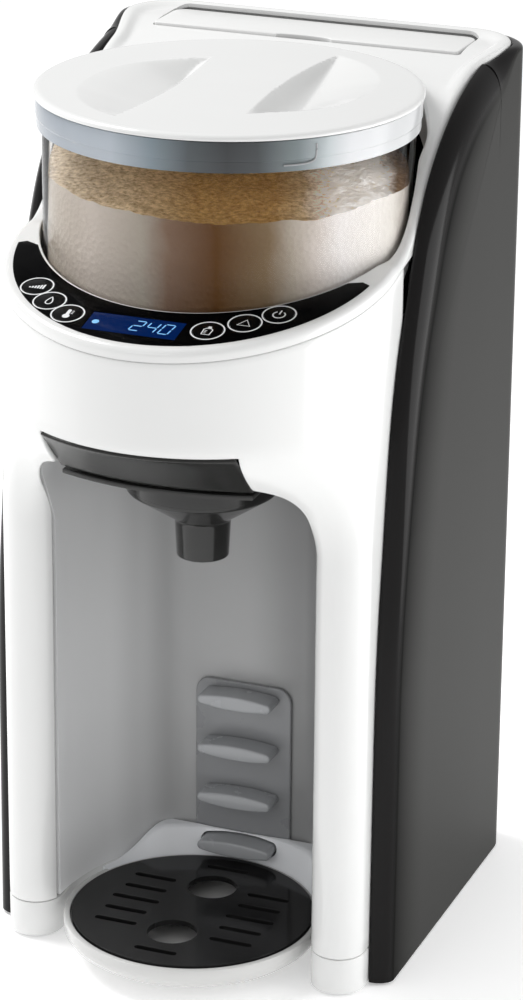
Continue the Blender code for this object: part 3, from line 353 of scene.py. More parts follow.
def painted_reflection_ramp(nt, stops, noise_amount=0.05):
    """Painted reflection and shade: colour ramped across the hopper along its diagonal, a little uneven."""
    tc = node(nt, "ShaderNodeTexCoord")
    dot = node(nt, "ShaderNodeVectorMath", operation='DOT_PRODUCT')
    nt.links.new(tc.outputs["Object"], dot.inputs[0])
    dot.inputs[1].default_value = (cos(radians(21.3)), sin(radians(21.3)), 0.0)
    n = node(nt, "ShaderNodeTexNoise")
    n.inputs["Scale"].default_value = 55.0
    n.inputs["Detail"].default_value = 5.0
    nt.links.new(tc.outputs["Object"], n.inputs["Vector"])
    nm = node(nt, "ShaderNodeMapRange")
    nm.inputs["To Min"].default_value = -noise_amount
    nm.inputs["To Max"].default_value = noise_amount
    nt.links.new(n.outputs["Fac"], nm.inputs["Value"])
    mr = node(nt, "ShaderNodeMapRange")
    off = (HOP_Y - YC) * MM * sin(radians(21.3))
    mr.inputs["From Min"].default_value = -0.078 + off
    mr.inputs["From Max"].default_value = 0.078 + off
    nt.links.new(dot.outputs["Value"], mr.inputs["Value"])
    add = node(nt, "ShaderNodeMath", operation='ADD')
    nt.links.new(mr.outputs["Result"], add.inputs[0])
    nt.links.new(nm.outputs["Result"], add.inputs[1])
    ramp = node(nt, "ShaderNodeValToRGB")
    e = ramp.color_ramp.elements
    e[0].position, e[0].color = stops[0][0], (*stops[0][1], 1)
    e[1].position, e[1].color = stops[-1][0], (*stops[-1][1], 1)
    for q, c in stops[1:-1]:
        k = ramp.color_ramp.elements.new(q)
        k.color = (*c, 1)
    nt.links.new(add.outputs["Value"], ramp.inputs["Fac"])
    return ramp.outputs["Color"]


def powder_material():
    m = bpy.data.materials.new("formula_powder")
    m.use_nodes = True
    nt = m.node_tree
    b = nt.nodes["Principled BSDF"]
    tc = node(nt, "ShaderNodeTexCoord")
    geo = node(nt, "ShaderNodeNewGeometry")
    sep = node(nt, "ShaderNodeSeparateXYZ")
    nt.links.new(geo.outputs["Normal"], sep.inputs["Vector"])
    up = node(nt, "ShaderNodeMapRange")
    up.inputs["From Min"].default_value = 0.25
    up.inputs["From Max"].default_value = 0.6
    nt.links.new(sep.outputs["Z"], up.inputs["Value"])
    crumbs = node(nt, "ShaderNodeTexVoronoi")
    crumbs.inputs["Scale"].default_value = 430
    nt.links.new(tc.outputs["Object"], crumbs.inputs["Vector"])
    fine = node(nt, "ShaderNodeTexNoise")
    fine.inputs["Scale"].default_value = 420
    fine.inputs["Detail"].default_value = 6
    fine.inputs["Roughness"].default_value = 0.7
    nt.links.new(tc.outputs["Object"], fine.inputs["Vector"])
    # heap: golden brown crumbs; painted light makes it lighter to the left, with a white painted reflection band and a
    # darker painted-shade centre
    top = painted_reflection_ramp(nt, [(0.02, (0.44, 0.37, 0.28)), (0.24, (0.46, 0.35, 0.22)), (0.42, (0.35, 0.21, 0.075)), (0.62, (0.33, 0.19, 0.065)),
                            (0.70, (0.42, 0.30, 0.17)), (0.80, (1.0, 0.97, 0.94)), (0.91, (1.0, 0.97, 0.94)), (0.95, (0.22, 0.135, 0.075)), (0.985, (0.16, 0.09, 0.045))], 0.035)
    cr = node(nt, "ShaderNodeValToRGB")
    cr.color_ramp.elements[0].position, cr.color_ramp.elements[1].position = 0.36, 0.62
    cr.color_ramp.elements[0].color = (0.50, 0.42, 0.33, 1)
    cr.color_ramp.elements[1].color = (1.0, 1.0, 0.98, 1)
    nt.links.new(fine.outputs["Fac"], cr.inputs["Fac"])
    mul = node(nt, "ShaderNodeMix", data_type='RGBA', blend_type='MULTIPLY')
    mul.inputs["Factor"].default_value = 1.0
    nt.links.new(top, mul.inputs["A"])
    nt.links.new(cr.outputs["Color"], mul.inputs["B"])
    # painted light: the heap colour is lifted above 1 to stay bright in the shade under the lid
    painted_light_gain = node(nt, "ShaderNodeMix", data_type='RGBA', blend_type='MULTIPLY')
    painted_light_gain.inputs["Factor"].default_value = 1.0
    painted_light_gain.inputs["B"].default_value = (2.1, 2.15, 2.25, 1)
    nt.links.new(mul.outputs["Result"], painted_light_gain.inputs["A"])
    # painted reflection: the powder against the wall is cream where reflections fall and dark brown between them
    side = painted_reflection_ramp(nt, [(0.02, (0.50, 0.44, 0.37)), (0.15, (0.62, 0.55, 0.49)), (0.28, (0.44, 0.39, 0.33)), (0.345, (0.24, 0.155, 0.108)), (0.47, (0.13, 0.058, 0.018)),
                             (0.60, (0.24, 0.167, 0.097)), (0.668, (0.48, 0.42, 0.35)), (0.733, (0.72, 0.65, 0.60)), (0.80, (0.90, 0.86, 0.84)), (0.93, (0.80, 0.76, 0.71)),
                             (0.985, (0.45, 0.40, 0.35))], 0.03)
    mix = node(nt, "ShaderNodeMix", data_type='RGBA')
    nt.links.new(up.outputs["Result"], mix.inputs["Factor"])
    nt.links.new(side, mix.inputs["A"])
    nt.links.new(painted_light_gain.outputs["Result"], mix.inputs["B"])
    nt.links.new(mix.outputs["Result"], b.inputs["Base Color"])
    bp = node(nt, "ShaderNodeBump")
    bp.inputs["Strength"].default_value = 0.6
    bp.inputs["Distance"].default_value = 0.0007
    nt.links.new(crumbs.outputs["Distance"], bp.inputs["Height"])
    nt.links.new(bp.outputs["Normal"], b.inputs["Normal"])
    rr = node(nt, "ShaderNodeMapRange")
    rr.inputs["To Min"].default_value = 0.85
    rr.inputs["To Max"].default_value = 1.0
    nt.links.new(fine.outputs["Fac"], rr.inputs["Value"])
    nt.links.new(rr.outputs["Result"], b.inputs["Roughness"])
    b.inputs["Specular IOR Level"].default_value = 0.1
    return m


M["powder"] = powder_material()
# painted reflection: the collar's tint is lighter at the sides where reflections fall and dark in the centre
nt = M["collar"].node_tree
nt.links.new(painted_reflection_ramp(nt, [(0.02, (0.35, 0.39, 0.44)), (0.20, (0.52, 0.57, 0.63)), (0.30, (0.27, 0.33, 0.37)), (0.40, (0.10, 0.115, 0.125)), (0.50, (0.052, 0.056, 0.060)),
                              (0.58, (0.075, 0.082, 0.088)), (0.68, (0.24, 0.28, 0.29)), (0.76, (0.55, 0.60, 0.62)), (0.82, (0.76, 0.77, 0.79)), (0.95, (0.74, 0.75, 0.76))], 0.01),
             nt.nodes["Principled BSDF"].inputs["Base Color"])


# ============================ mesh helpers ===============================
def link(name, me, mat, body, replaces=None, angle=40, smooth_all=False):
    obj = bpy.data.objects.new(name, me)
    bpy.context.scene.collection.objects.link(obj)
    me.materials.clear()
    me.materials.append(mat)
    me.shade_smooth()
    if not smooth_all:
        me.set_sharp_from_angle(angle=radians(angle))
    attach(obj, body)
    if replaces:
        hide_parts(*([replaces] if isinstance(replaces, str) else replaces))
    return obj


def mesh_of(name, bm, recalc=True):
    me = bpy.data.meshes.new(name)
    if recalc:
        bmesh.ops.recalc_face_normals(bm, faces=bm.faces[:])
    bm.to_mesh(me)
    bm.free()
    return me


def grid(bm, rows, closed=False):
    """Quads between rows of points; returns the vertex rows."""
    V = [[bm.verts.new(p) for p in r] for r in rows]
    for a, b in zip(V, V[1:]):
        n = len(a)
        for i in range(n if closed else n - 1):
            j = (i + 1) % n
            bm.faces.new((a[i], a[j], b[j], b[i]))
    return V


def apply_all(obj):
    """Evaluate the modifiers into the mesh, keeping sharp edges."""
    dg = bpy.context.evaluated_depsgraph_get()
    me = bpy.data.meshes.new_from_object(obj.evaluated_get(dg))
    obj.modifiers.clear()
    obj.data = me
    return obj


def outline_mesh(name, loops, t0, t1, frame_m, bevel=0.0, seg=2):
    """Filled 2D outline extruded from t0 to t1 mm, edges rounded by bevel mm."""
    cu = bpy.data.curves.new(name + "_outline", 'CURVE')
    cu.dimensions = '2D'
    cu.fill_mode = 'BOTH'
    cu.extrude = abs(t1 - t0) * MM / 2
    for pts in loops:
        sp = cu.splines.new('POLY')
        sp.points.add(len(pts) - 1)
        for p, (a, b) in zip(sp.points, pts):
            p.co = (a * MM, b * MM, 0, 1)
        sp.use_cyclic_u = True
    tmp = bpy.data.objects.new(name + "_curve", cu)
    bpy.context.scene.collection.objects.link(tmp)
    bpy.context.view_layer.update()
    dg = bpy.context.evaluated_depsgraph_get()
    me = bpy.data.meshes.new_from_object(tmp.evaluated_get(dg))
    bpy.data.objects.remove(tmp, do_unlink=True)
    bpy.data.curves.remove(cu)
    bm = bmesh.new()
    bm.from_mesh(me)
    bpy.data.meshes.remove(me)
    bmesh.ops.remove_doubles(bm, verts=bm.verts[:], dist=1e-6)
    if bevel:
        bmesh.ops.dissolve_limit(bm, angle_limit=radians(1), verts=bm.verts[:], edges=bm.edges[:])
        edges = [e for e in bm.edges if len(e.link_faces) == 2 and e.calc_face_angle(0) > radians(50)
                 and abs(e.verts[0].co.z - e.verts[1].co.z) < 1e-7]
        bmesh.ops.bevel(bm, geom=edges, offset=bevel * MM, segments=seg, profile=0.5, affect='EDGES', clamp_overlap=True)
    bmesh.ops.translate(bm, verts=bm.verts[:], vec=(0, 0, (t0 + t1) / 2 * MM))
    bmesh.ops.transform(bm, matrix=frame_m, verts=bm.verts[:])
    return mesh_of(name, bm)


def flat(name, loops, t0, t1, frame_m, mat, body, replaces=None, bevel=0.0, seg=2, angle=35):
    return link(name, outline_mesh(name, loops, t0, t1, frame_m, bevel, seg), mat, body, replaces, angle)


def turned(name, profile, x, y, mat, body, replaces=None, n=128, angle=35, closed_profile=True):
    """Turned piece from a rounded (r, z) profile."""
    bm = bmesh.new()
    cols = []
    for k in range(n):
        a = 2 * pi * k / n
        cols.append([W(x + r * cos(a), y + r * sin(a), z) for r, z in profile])
    axis0, axis1 = profile[0][0] == 0, profile[-1][0] == 0
    V = []
    p0 = bm.verts.new(W(x, y, profile[0][1])) if axis0 else None
    p1 = bm.verts.new(W(x, y, profile[-1][1])) if axis1 else None
    for c in cols:
        col = []
        for i, p in enumerate(c):
            if i == 0 and axis0:
                col.append(p0)
            elif i == len(c) - 1 and axis1:
                col.append(p1)
            else:
                col.append(bm.verts.new(p))
        V.append(col)
    m = len(profile)
    for k in range(n):
        a, b = V[k], V[(k + 1) % n]
        for i in range(m if not (axis0 or axis1) and closed_profile else m - 1):
            j = (i + 1) % m
            f = [a[i], a[j], b[j], b[i]]
            f = [v for t, v in enumerate(f) if v not in f[:t]]
            if len(f) > 2:
                bm.faces.new(f)
    return link(name, mesh_of(name, bm), mat, body, replaces, angle)


def round_profile(pts, r, closed=True, seg=3):
    """Replace sharp corners of a (r, z) profile by short arcs."""
    out = []
    n = len(pts)
    for i, p in enumerate(pts):
        if not closed and i in (0, n - 1):
            out.append(p)
            continue
        a, b, c = Vector(pts[i - 1]), Vector(p), Vector(pts[(i + 1) % n])
        u, v = (a - b), (c - b)
        if p[0] == 0 or u.length < 1e-6 or v.length < 1e-6:
            out.append(p)
            continue
        k = min(r, u.length * 0.45, v.length * 0.45)
        s, e = b + u.normalized() * k, b + v.normalized() * k
        for t in range(seg + 1):
            w = t / seg
            q = (1 - w) ** 2 * s + 2 * w * (1 - w) * b + w * w * e
            out.append((q.x, q.y))
    return out


def cut(obj, tool_me, op='DIFFERENCE'):
    tool = bpy.data.objects.new(obj.name + "_tool", tool_me)
    bpy.context.scene.collection.objects.link(tool)
    m = obj.modifiers.new("cut", 'BOOLEAN')
    m.object = tool
    m.operation = op
    m.solver = 'EXACT'
    bpy.context.view_layer.update()
    apply_all(obj)
    bpy.data.objects.remove(tool, do_unlink=True)
    return obj


def shell(obj, t, offset=-1.0, bevel=0.0, seg=2, angle=55):
    s = obj.modifiers.new("wall", 'SOLIDIFY')
    s.thickness = t * MM
    s.offset = offset
    s.use_quality_normals = True
    if bevel:
        b = obj.modifiers.new("edge", 'BEVEL')
        b.width = bevel * MM
        b.segments = seg
        b.limit_method = 'ANGLE'
        b.angle_limit = radians(angle)
        b.harden_normals = False
    bpy.context.view_layer.update()
    apply_all(obj)
    obj.data.shade_smooth()
    obj.data.set_sharp_from_angle(angle=radians(50))
    return obj


def tubes(bm, pts, r, n=8, closed=False):
    """Round wire along points (list of Vectors) added to bm."""
    rows = []
    N = len(pts)
    up0 = Vector((0, 0, 1))
    for i, p in enumerate(pts):
        if closed:
            t = (pts[(i + 1) % N] - pts[i - 1]).normalized()
        else:
            t = (pts[min(i + 1, N - 1)] - pts[max(i - 1, 0)]).normalized()
        s = t.cross(up0)
        if s.length < 1e-4:
            s = t.cross(Vector((0, 1, 0)))
        s.normalize()
        u = s.cross(t)
        rows.append([p + (s * cos(2 * pi * k / n) + u * sin(2 * pi * k / n)) * r for k in range(n)])
    if closed:
        rows.append(rows[0])
    V = grid(bm, rows, closed=True)
    if not closed:
        bm.faces.new(V[0])
        bm.faces.new(list(reversed(V[-1])))
    return V


# ============================ camera and stage ===========================
cam_data = bpy.data.cameras.new("camera")
cam_data.sensor_width = 36.0
cam_data.lens = 131.44
cam_data.clip_start, cam_data.clip_end = 0.05, 50
cam = bpy.data.objects.new("camera", cam_data)
bpy.context.scene.collection.objects.link(cam)
yaw, pitch, roll = radians(21.266), radians(20.815), radians(0.48)
F = Vector((-sin(yaw) * cos(pitch), cos(yaw) * cos(pitch), -sin(pitch)))
Rv = Vector((cos(yaw), sin(yaw), 0))
Uv = Rv.cross(F)
R2 = cos(roll) * Rv + sin(roll) * Uv
U2 = -sin(roll) * Rv + cos(roll) * Uv
cm = Matrix((R2, U2, -F)).transposed().to_4x4()
cm.translation = W(551.86, -1337.88, 763.15)
cam.matrix_world = cm
bpy.context.scene.camera = cam

bm = bmesh.new()
bmesh.ops.create_grid(bm, x_segments=8, y_segments=8, size=6.0)
me = mesh_of("floor", bm)
floor_obj = bpy.data.objects.new("floor", me)
bpy.context.scene.collection.objects.link(floor_obj)
me.materials.append(surface("floor_pale", (0.93, 0.93, 0.93), rough=0.7, var=0.004, var_scale=2, spec=0.2, emit=(1.0, 1.0, 1.0), emit_strength=0.30))

world = bpy.data.worlds.new("studio")
world.use_nodes = True
world.node_tree.nodes["Background"].inputs["Color"].default_value = (1.0, 1.0, 1.0, 1)
world.node_tree.nodes["Background"].inputs["Strength"].default_value = 0.62
bpy.context.scene.view_settings.view_transform = 'Standard'
bpy.context.scene.view_settings.look = 'None'
bpy.context.scene.world = world


def area(name, loc, target, sx, sy, power, color=(1, 1, 1)):
    d = bpy.data.lights.new(name, 'AREA')
    d.shape = 'RECTANGLE'
    d.size, d.size_y = sx, sy
    d.energy = power
    d.color = color
    o = bpy.data.objects.new(name, d)
    bpy.context.scene.collection.objects.link(o)
    o.location = loc
    o.rotation_euler = (Vector(target) - Vector(loc)).to_track_quat('-Z', 'Y').to_euler()
    return o


for nm_, loc, tgt, sx, sy, pw in (("right_box", (0.62, 0.10, 0.24), (0, -0.01, 0.24), 0.55, 0.46, 2.2),
                                  ("left_box", (-0.66, -0.30, 0.26), (0, -0.01, 0.26), 0.45, 0.5, 0.25),
                                  ("top_box", (-1.1, 0.1, 1.6), (0, 0, 0.3), 0.8, 0.8, 23.0),
                                  ("front_fill", (-0.5, -2.6, 1.5), (0, 0, 0.2), 1.0, 1.0, 4.2)):
    o_ = area(nm_, loc, tgt, sx, sy, pw)
    o_.visible_camera = False

# ============================ front shell ================================
def low_path(t):
    """Plan of the left pillar, t from 0 (flank) to 1 (machine centre line)."""
    # flank 24..-8 (0-.18), nose arc (.18-.62), inner line (.62-1)
    if t < 0.18:
        return -BODY_X, lerp(24.0, -8.0, t / 0.18)
    if t < 0.62:
        a = radians(180 * (t - 0.18) / 0.44)
        return -72 - 12 * cos(a), -8 - 12 * sin(a)
    u = (t - 0.62) / 0.38
    return lerp(-60.0, 0.0, u), -8.0


def high_path(t):
    if t < 0.075:
        return -BODY_X, lerp(24.0, NOSE_Y, t / 0.075)
    a = radians(90 * (t - 0.075) / 0.925)
    return -NOSE_R * cos(a), NOSE_Y - NOSE_R * sin(a)


def face(t, z):
    g = smooth((262.0 - z) / 62.0)
    xl, yl = low_path(t)
    xh, yh = high_path(t)
    return lerp(xh, xl, g), lerp(yh, yl, g)


def seam_line(y):
    return DECK_Z0 - 5.6 + DECK_SLOPE * y


COVER_X, COVER_TOP = 43.9, 257.2


def edge_x(z):
    """Half width of the opening at height z."""
    if z <= BAY_TOP - ARCH_R:
        return BAY_X
    if z < BAY_TOP - 0.4:
        d = z - (BAY_TOP - ARCH_R)
        return max(COVER_X, BAY_X - ARCH_R + sqrt(max(0, ARCH_R ** 2 - d * d)))
    return COVER_X


def t_at(x, z):
    """Parameter where the face reaches half width x at height z."""
    lo_t, hi_t = 0.3, 1.0
    for _ in range(40):
        mid = (lo_t + hi_t) / 2
        if -face(mid, z)[0] > x:
            lo_t = mid
        else:
            hi_t = mid
    return (lo_t + hi_t) / 2


def build_front():
    bm = bmesh.new()
    zs = [SEAM_Z + (200 - SEAM_Z) * i / 24 for i in range(24)] + [200 + (COVER_TOP - 200) * i / 40 for i in range(41)]
    N = 46
    rows = []
    for z in zs:
        tb = t_at(edge_x(z), z)
        rows.append([(*face(tb * k / N, z), z) for k in range(N + 1)])
    tb = t_at(COVER_X, COVER_TOP)
    NU = 14
    for j in range(1, NU + 1):
        r = []
        for k in range(N + 1):
            x, y = face(tb * k / N, COVER_TOP + 6)
            x0, y0 = face(tb * k / N, COVER_TOP + 4.0 * j)
            zt = seam_line(y0)
            r.append((x0, y0, lerp(COVER_TOP, zt, j / NU)))
        rows.append(r)
    for s in (-1, 1):
        V = grid(bm, [[W(s * -x, y, z) for x, y, z in r] for r in rows])
    # middle panel above the funnel cover
    mid = []
    for j in range(0, NU + 1):
        r = []
        zz = COVER_TOP + 4.0 * j
        x0, y0 = face(tb, zz)
        a0 = atan2(-x0, NOSE_Y - y0)
        for k in range(33):
            a = lerp(-a0, a0, k / 32)
            rad = hypot(x0, NOSE_Y - y0)
            x, y = rad * sin(a), NOSE_Y - rad * cos(a)
            r.append(W(x, y, lerp(COVER_TOP, seam_line(y), j / NU)))
        mid.append(r)
    grid(bm, mid)
    bmesh.ops.remove_doubles(bm, verts=bm.verts[:], dist=2e-5)
    bmesh.ops.recalc_face_normals(bm, faces=bm.faces[:])
    # outward = away from the body's axis
    f = max(bm.faces, key=lambda q: q.calc_center_median().z)
    c = f.calc_center_median()
    if f.normal.dot(Vector((c.x, c.y - (NOSE_Y - YC) * MM, 0))) < 0:
        bmesh.ops.reverse_faces(bm, faces=bm.faces[:])
    me = mesh_of("front_shell_skin", bm, recalc=False)
    obj = link("front_shell_skin", me, M["white"], "base", "front_shell")
    return shell(obj, 2.3, bevel=0.7)


build_front()

# ============================ foot band ==================================
def foot_plan(off=0.0, rear=161.0, n=20):
    r = 12.0 - off
    right = [(BAY_X - 0.4 + off, 64.0 + off), (BAY_X - 0.4 + off, -8.0)]
    right += arc(72.0, -8.0, r, 180, 360, n)[1:]
    right += arc(BODY_X - 34.0, rear - 34.0, 34.0 - off, 0, 90, 16)
    return right + [(-x, y) for x, y in reversed(right)]


flat("foot_band", [foot_plan(0.0), foot_plan(2.4)], 1.5, 18.0, PLAN, M["white"], "base", "base_frame", bevel=0.5, seg=2)


# ============================ side covers ================================
def panel_curve():
    """Dense, evened outline of a side cover in (y, z): front bottom, up, to the top at y = 118."""
    f = pchip([(z, y) for y, z in PANEL_EDGE[:12]])
    pts = [(f(z), z) for z in [1.5 + (333 - 1.5) * i / 90 for i in range(91)]]
    g = pchip([(y, z) for y, z in PANEL_EDGE[10:]] + [(165, 386.3)])
    y0 = PANEL_EDGE[10][0]
    pts += [(y, g(y)) for y in [y0 + (118 - y0) * i / 40 for i in range(1, 41)]]
    # equal steps, then a few passes of smoothing
    P = [Vector(p) for p in pts]
    L = [0.0]
    for a, b in zip(P, P[1:]):
        L.append(L[-1] + (b - a).length)
    n = 170
    Q, k = [], 0
    for i in range(n + 1):
        t = L[-1] * i / n
        while k < len(L) - 2 and L[k + 1] < t:
            k += 1
        Q.append(P[k].lerp(P[k + 1], (t - L[k]) / (L[k + 1] - L[k])))
    for _ in range(60):
        Q = [Q[0]] + [Q[i] * 0.5 + (Q[i - 1] + Q[i + 1]) * 0.25 for i in range(1, n)] + [Q[-1]]
    return Q


def panel_top(y):
    return lerp(384.0, 386.3, smooth((y - 112) / 30.0))


SIDE_GROW = 1


def flare(y):
    """Half width of the top at depth y: it widens a little towards the back."""
    return BODY_X + 5.5 * smooth((y - 108) / 32.0)


def side_cover(name, s):
    """Dark shell of one side: rounded front and top edge, wrapped round the rear corner."""
    P = panel_curve()
    n = len(P)
    zend = P[-1].y
    K = 12
    rows = []
    for i in range(n):
        a, b = P[max(i - 1, 0)], P[min(i + 1, n - 1)]
        t = (b - a).normalized()
        if i == 0:
            t = Vector((0, 1))
        if i == n - 1:
            t = Vector((1, 0.03)).normalized()
        nr = Vector((t.y, -t.x))
        r = 6.5 + 8.0 * smooth((P[i].y - 170) / 170.0)
        row = [(BODY_X + 0.3, P[i].x + nr.x * 4.0, P[i].y + nr.y * 4.0), (BODY_X + 0.3, P[i].x + nr.x * 0.5, P[i].y + nr.y * 0.5)]
        for k in range(K + 1):
            th = radians(90 * k / K)
            q = P[i] + nr * r * (1 - cos(th))
            row.append((BODY_X + 0.8 + (SIDE_X - BODY_X - 0.8) * sin(th), q.x, max(1.5, q.y)))
        rows.append(row)
    bm = bmesh.new()
    V = grid(bm, [[W(s * x, y, z) for x, y, z in r_] for r_ in rows])
    # wall behind y = 118, round the corner to the back
    r0 = 14.5
    plan = []
    plan = [(SIDE_X, 118.0 + 26.0 * k / 16) for k in range(16)] + arc(72.9, 144.0, 21.0, 0, 90, 30) + [(68.0, 165.0), (63.0, 165.0), (58.0, 165.0)]
    cols = []
    for k, (ox, oy) in enumerate(plan):
        # matching point of the white top's outline
        if oy < 144.0:
            iy = lerp(118.0, 140.4, (oy - 118.0) / 26.0)
            ix = flare(iy) + 0.3
        elif ox > 72.9 - 1e-6:
            a = atan2(oy - 144.0, ox - 72.9)
            ix, iy = 67.5 + 22.3 * cos(a), 140.4 + 22.3 * sin(a)
        else:
            ix, iy = lerp(58.0, 67.5, (ox - 58.0) / 14.9), 162.7
        w = hypot(ox - ix, oy - iy) - 0.5
        rr = lerp(r0, 2.4, smooth((oy - 118) / 26.0))
        zt = lerp(zend, 386.3, smooth((oy - 118) / 26.0))
        ux, uy = (ox - ix) / (w + 0.5), (oy - iy) / (w + 0.5)
        col = [(ix, iy, zt - 4.0), (ix, iy, zt - 0.5)]
        for q in range(K + 1):
            th = radians(90 * q / K)
            d = 0.5 + w * sin(th)
            col.append((ix + ux * d, iy + uy * d, zt - rr * (1 - cos(th))))
        zl = col[-1][2]
        col += [(ox, oy, lerp(zl, 1.5, q / 12)) for q in range(1, 13)]
        cols.append(col)
    C = grid(bm, [[W(s * x, y, z) for x, y, z in c] for c in cols])
    rim = [v[-1] for v in V] + C[0][2 + K + 1:]
    bm.faces.new(rim)
    bmesh.ops.remove_doubles(bm, verts=bm.verts[:], dist=4e-5)
    bmesh.ops.triangulate(bm, faces=[f for f in bm.faces if len(f.verts) > 4])
    bmesh.ops.recalc_face_normals(bm, faces=bm.faces[:])
    f = max(bm.faces, key=lambda q: abs(q.calc_center_median().x) - (0 if abs(q.normal.x) > 0.99 else 1))
    if f.normal.x * s < 0:
        bmesh.ops.reverse_faces(bm, faces=bm.faces[:])
    me = mesh_of(name, bm, recalc=False)
    obj = link(name + "_skin", me, M["dark"], "base", name, angle=30)
    sh = obj.modifiers.new("wall", 'SOLIDIFY')
    sh.thickness = 1.2 * MM
    sh.offset = SIDE_GROW
    bpy.context.view_layer.update()
    apply_all(obj)
    obj.data.shade_smooth()
    obj.data.set_sharp_from_angle(angle=radians(32))
    return obj


side_cover("left_side_panel", -1)
side_cover("right_side_panel", 1)

# ============================ top cover ==================================
top_f = pchip(TOP_EDGE)
OV_R1, OV_R2, OV_Y = 79.8, 81.0, -1.0


def body_r(phi, off=0.0):
    """Distance from the container axis to the plan outline along angle phi."""
    dx, dy = sin(phi), -cos(phi)       # phi 0 = front, +90 = right
    lo_r, hi_r = 60.0, 200.0

    def inside(x, y):
        x = abs(x)
        bx = BODY_X - off
        if y < NOSE_Y:
            return x * x + (y - NOSE_Y) ** 2 < (NOSE_R - off) ** 2
        bx = flare(y) - off
        if x > bx or y > 162.4 - off:
            return False
        if x > 67.5 and y > 140.4:
            return (x - 67.5) ** 2 + (y - 140.4) ** 2 < (22.0 - off) ** 2
        return True
    for _ in range(40):
        m = (lo_r + hi_r) / 2
        if inside(m * dx, HOP_Y + m * dy):
            lo_r = m
        else:
            hi_r = m
    return lo_r


def in_overlay(x, y, inset):
    return (hypot(x, y - NOSE_Y) < OV_R1 - inset and hypot(x, y - HOP_Y) > OV_R2 + inset and y < OV_Y - inset)


def edge_dist(x, y):
    """How far a plan point lies inside the outline of the upper body."""
    x = abs(x)
    if y < NOSE_Y:
        return NOSE_R - hypot(x, y - NOSE_Y)
    if x > 67.5 and y > 140.4:
        return 22.0 - hypot(x - 67.5, y - 140.4)
    return min(flare(y) - x, 162.4 - y)


def top_height(x, y):
    if in_overlay(x, y, 1.0):
        return DECK_Z0 - 1.62 + DECK_SLOPE * y
    if y < 12:
        z = DECK_Z0 - 0.35 + DECK_SLOPE * y
    else:
        z = lerp(DECK_Z0 - 0.35 + DECK_SLOPE * y, top_f(y), smooth((y - 12) / 12.0))
    # raised rim round the back of the top, recessed floor inside it
    d = edge_dist(x, y)
    back = smooth((y - 84) / 26.0)
    lip = 1.0 - smooth((d - 3.6) / 5.0)
    z -= 2.3 * back * (1 - lip)
    return z


def build_top():
    NA, MR = 360, 26
    bm = bmesh.new()
    rows = []
    for k in range(NA):
        phi = 2 * pi * k / NA
        dx, dy = sin(phi), -cos(phi)
        ro = body_r(phi)
        zt = top_f(HOP_Y + SEAT_R * dy)
        ri = lerp(SEAT_R, 83.0, smooth((zt - 354) / 10.0))
        # keep a sliver of rim where the outline comes close to the seat
        ri = min(ri, ro - 2.6)
        rf = min(lerp(3.2, 2.0, smooth((HOP_Y + ro * dy - 110) / 30.0)), (ro - ri) * 0.55)
        pts = []
        zi = top_height(ri * dx, HOP_Y + ri * dy)
        for zz in (zi - 17, zi - 9, zi - 1.2):
            pts.append((ri, zz))
        for a in (30, 60, 90):
            pts.append((ri + 0.8 * (1 - cos(radians(a))), zi - 0.8 + 0.8 * sin(radians(a))))
        span = ro - rf - (ri + 0.8)
        for j in range(1, MR + 1):
            r = ri + 0.8 + span * j / MR
            pts.append((r, top_height(r * dx, HOP_Y + r * dy)))
        ze = top_height((ro - rf) * dx, HOP_Y + (ro - rf) * dy)
        for a in (18, 36, 54, 72, 90):
            pts.append((ro - rf + rf * sin(radians(a)), ze - rf + rf * cos(radians(a))))
        yo = HOP_Y + ro * dy
        zb = seam_line(yo) + 0.3
        if yo > 40:
            zb = min(ze - rf - 4, max(zb, ze - 40))
        zs = ze - rf
        for j in (1, 2, 3):
            pts.append((ro, lerp(zs, min(zb, zs - 0.5), j / 3)))
        rows.append([W(r * dx, HOP_Y + r * dy, z) for r, z in pts])
    V = grid(bm, rows + [rows[0]])
    bmesh.ops.remove_doubles(bm, verts=bm.verts[:], dist=1e-6)
    bmesh.ops.recalc_face_normals(bm, faces=bm.faces[:])
    f = max(bm.faces, key=lambda q: q.calc_center_median().z)
    if f.normal.z < 0:
        bmesh.ops.reverse_faces(bm, faces=bm.faces[:])
    me = mesh_of("top_cover_skin", bm, recalc=False)
    obj = link("top_cover_skin", me, M["white"], "base", "top_cover")
    s = obj.modifiers.new("wall", 'SOLIDIFY')
    s.thickness = 1.5 * MM
    s.offset = -1
    bpy.context.view_layer.update()
    apply_all(obj)
    cut(obj, outline_mesh("tank_slot", [arc(65.9, 151.3, 6.0, 0, 90, 12) + arc(-65.9, 151.3, 6.0, 90, 180, 12) + arc(-70.2, 127.3, 1.7, 180, 270, 4) + arc(70.2, 127.3, 1.7, 270, 360, 4)], 370, 400, PLAN))
    obj.data.shade_smooth()
    obj.data.set_sharp_from_angle(angle=radians(42))
    return obj


build_top()

# tank lid, with a finger notch at the front
flat("tank_lid_skin", [arc(65.3, 148.2, 6.0, 0, 90, 14) + arc(-65.3, 148.2, 6.0, 90, 180, 14) + arc(-69.6, 127.6, 1.6, 180, 270, 4)
                       + [(-13, 126.0)] + [(13 * cos(radians(a)), 126.0 + 2.6 * sin(radians(a))) for a in range(170, 9, -20)] + [(13, 126.0)] + arc(69.6, 127.6, 1.6, 270, 360, 4)],
     380.9, 385.5, PLAN, M["white_satin"], "tank_lid", "tank_lid", bevel=0.9, seg=3)

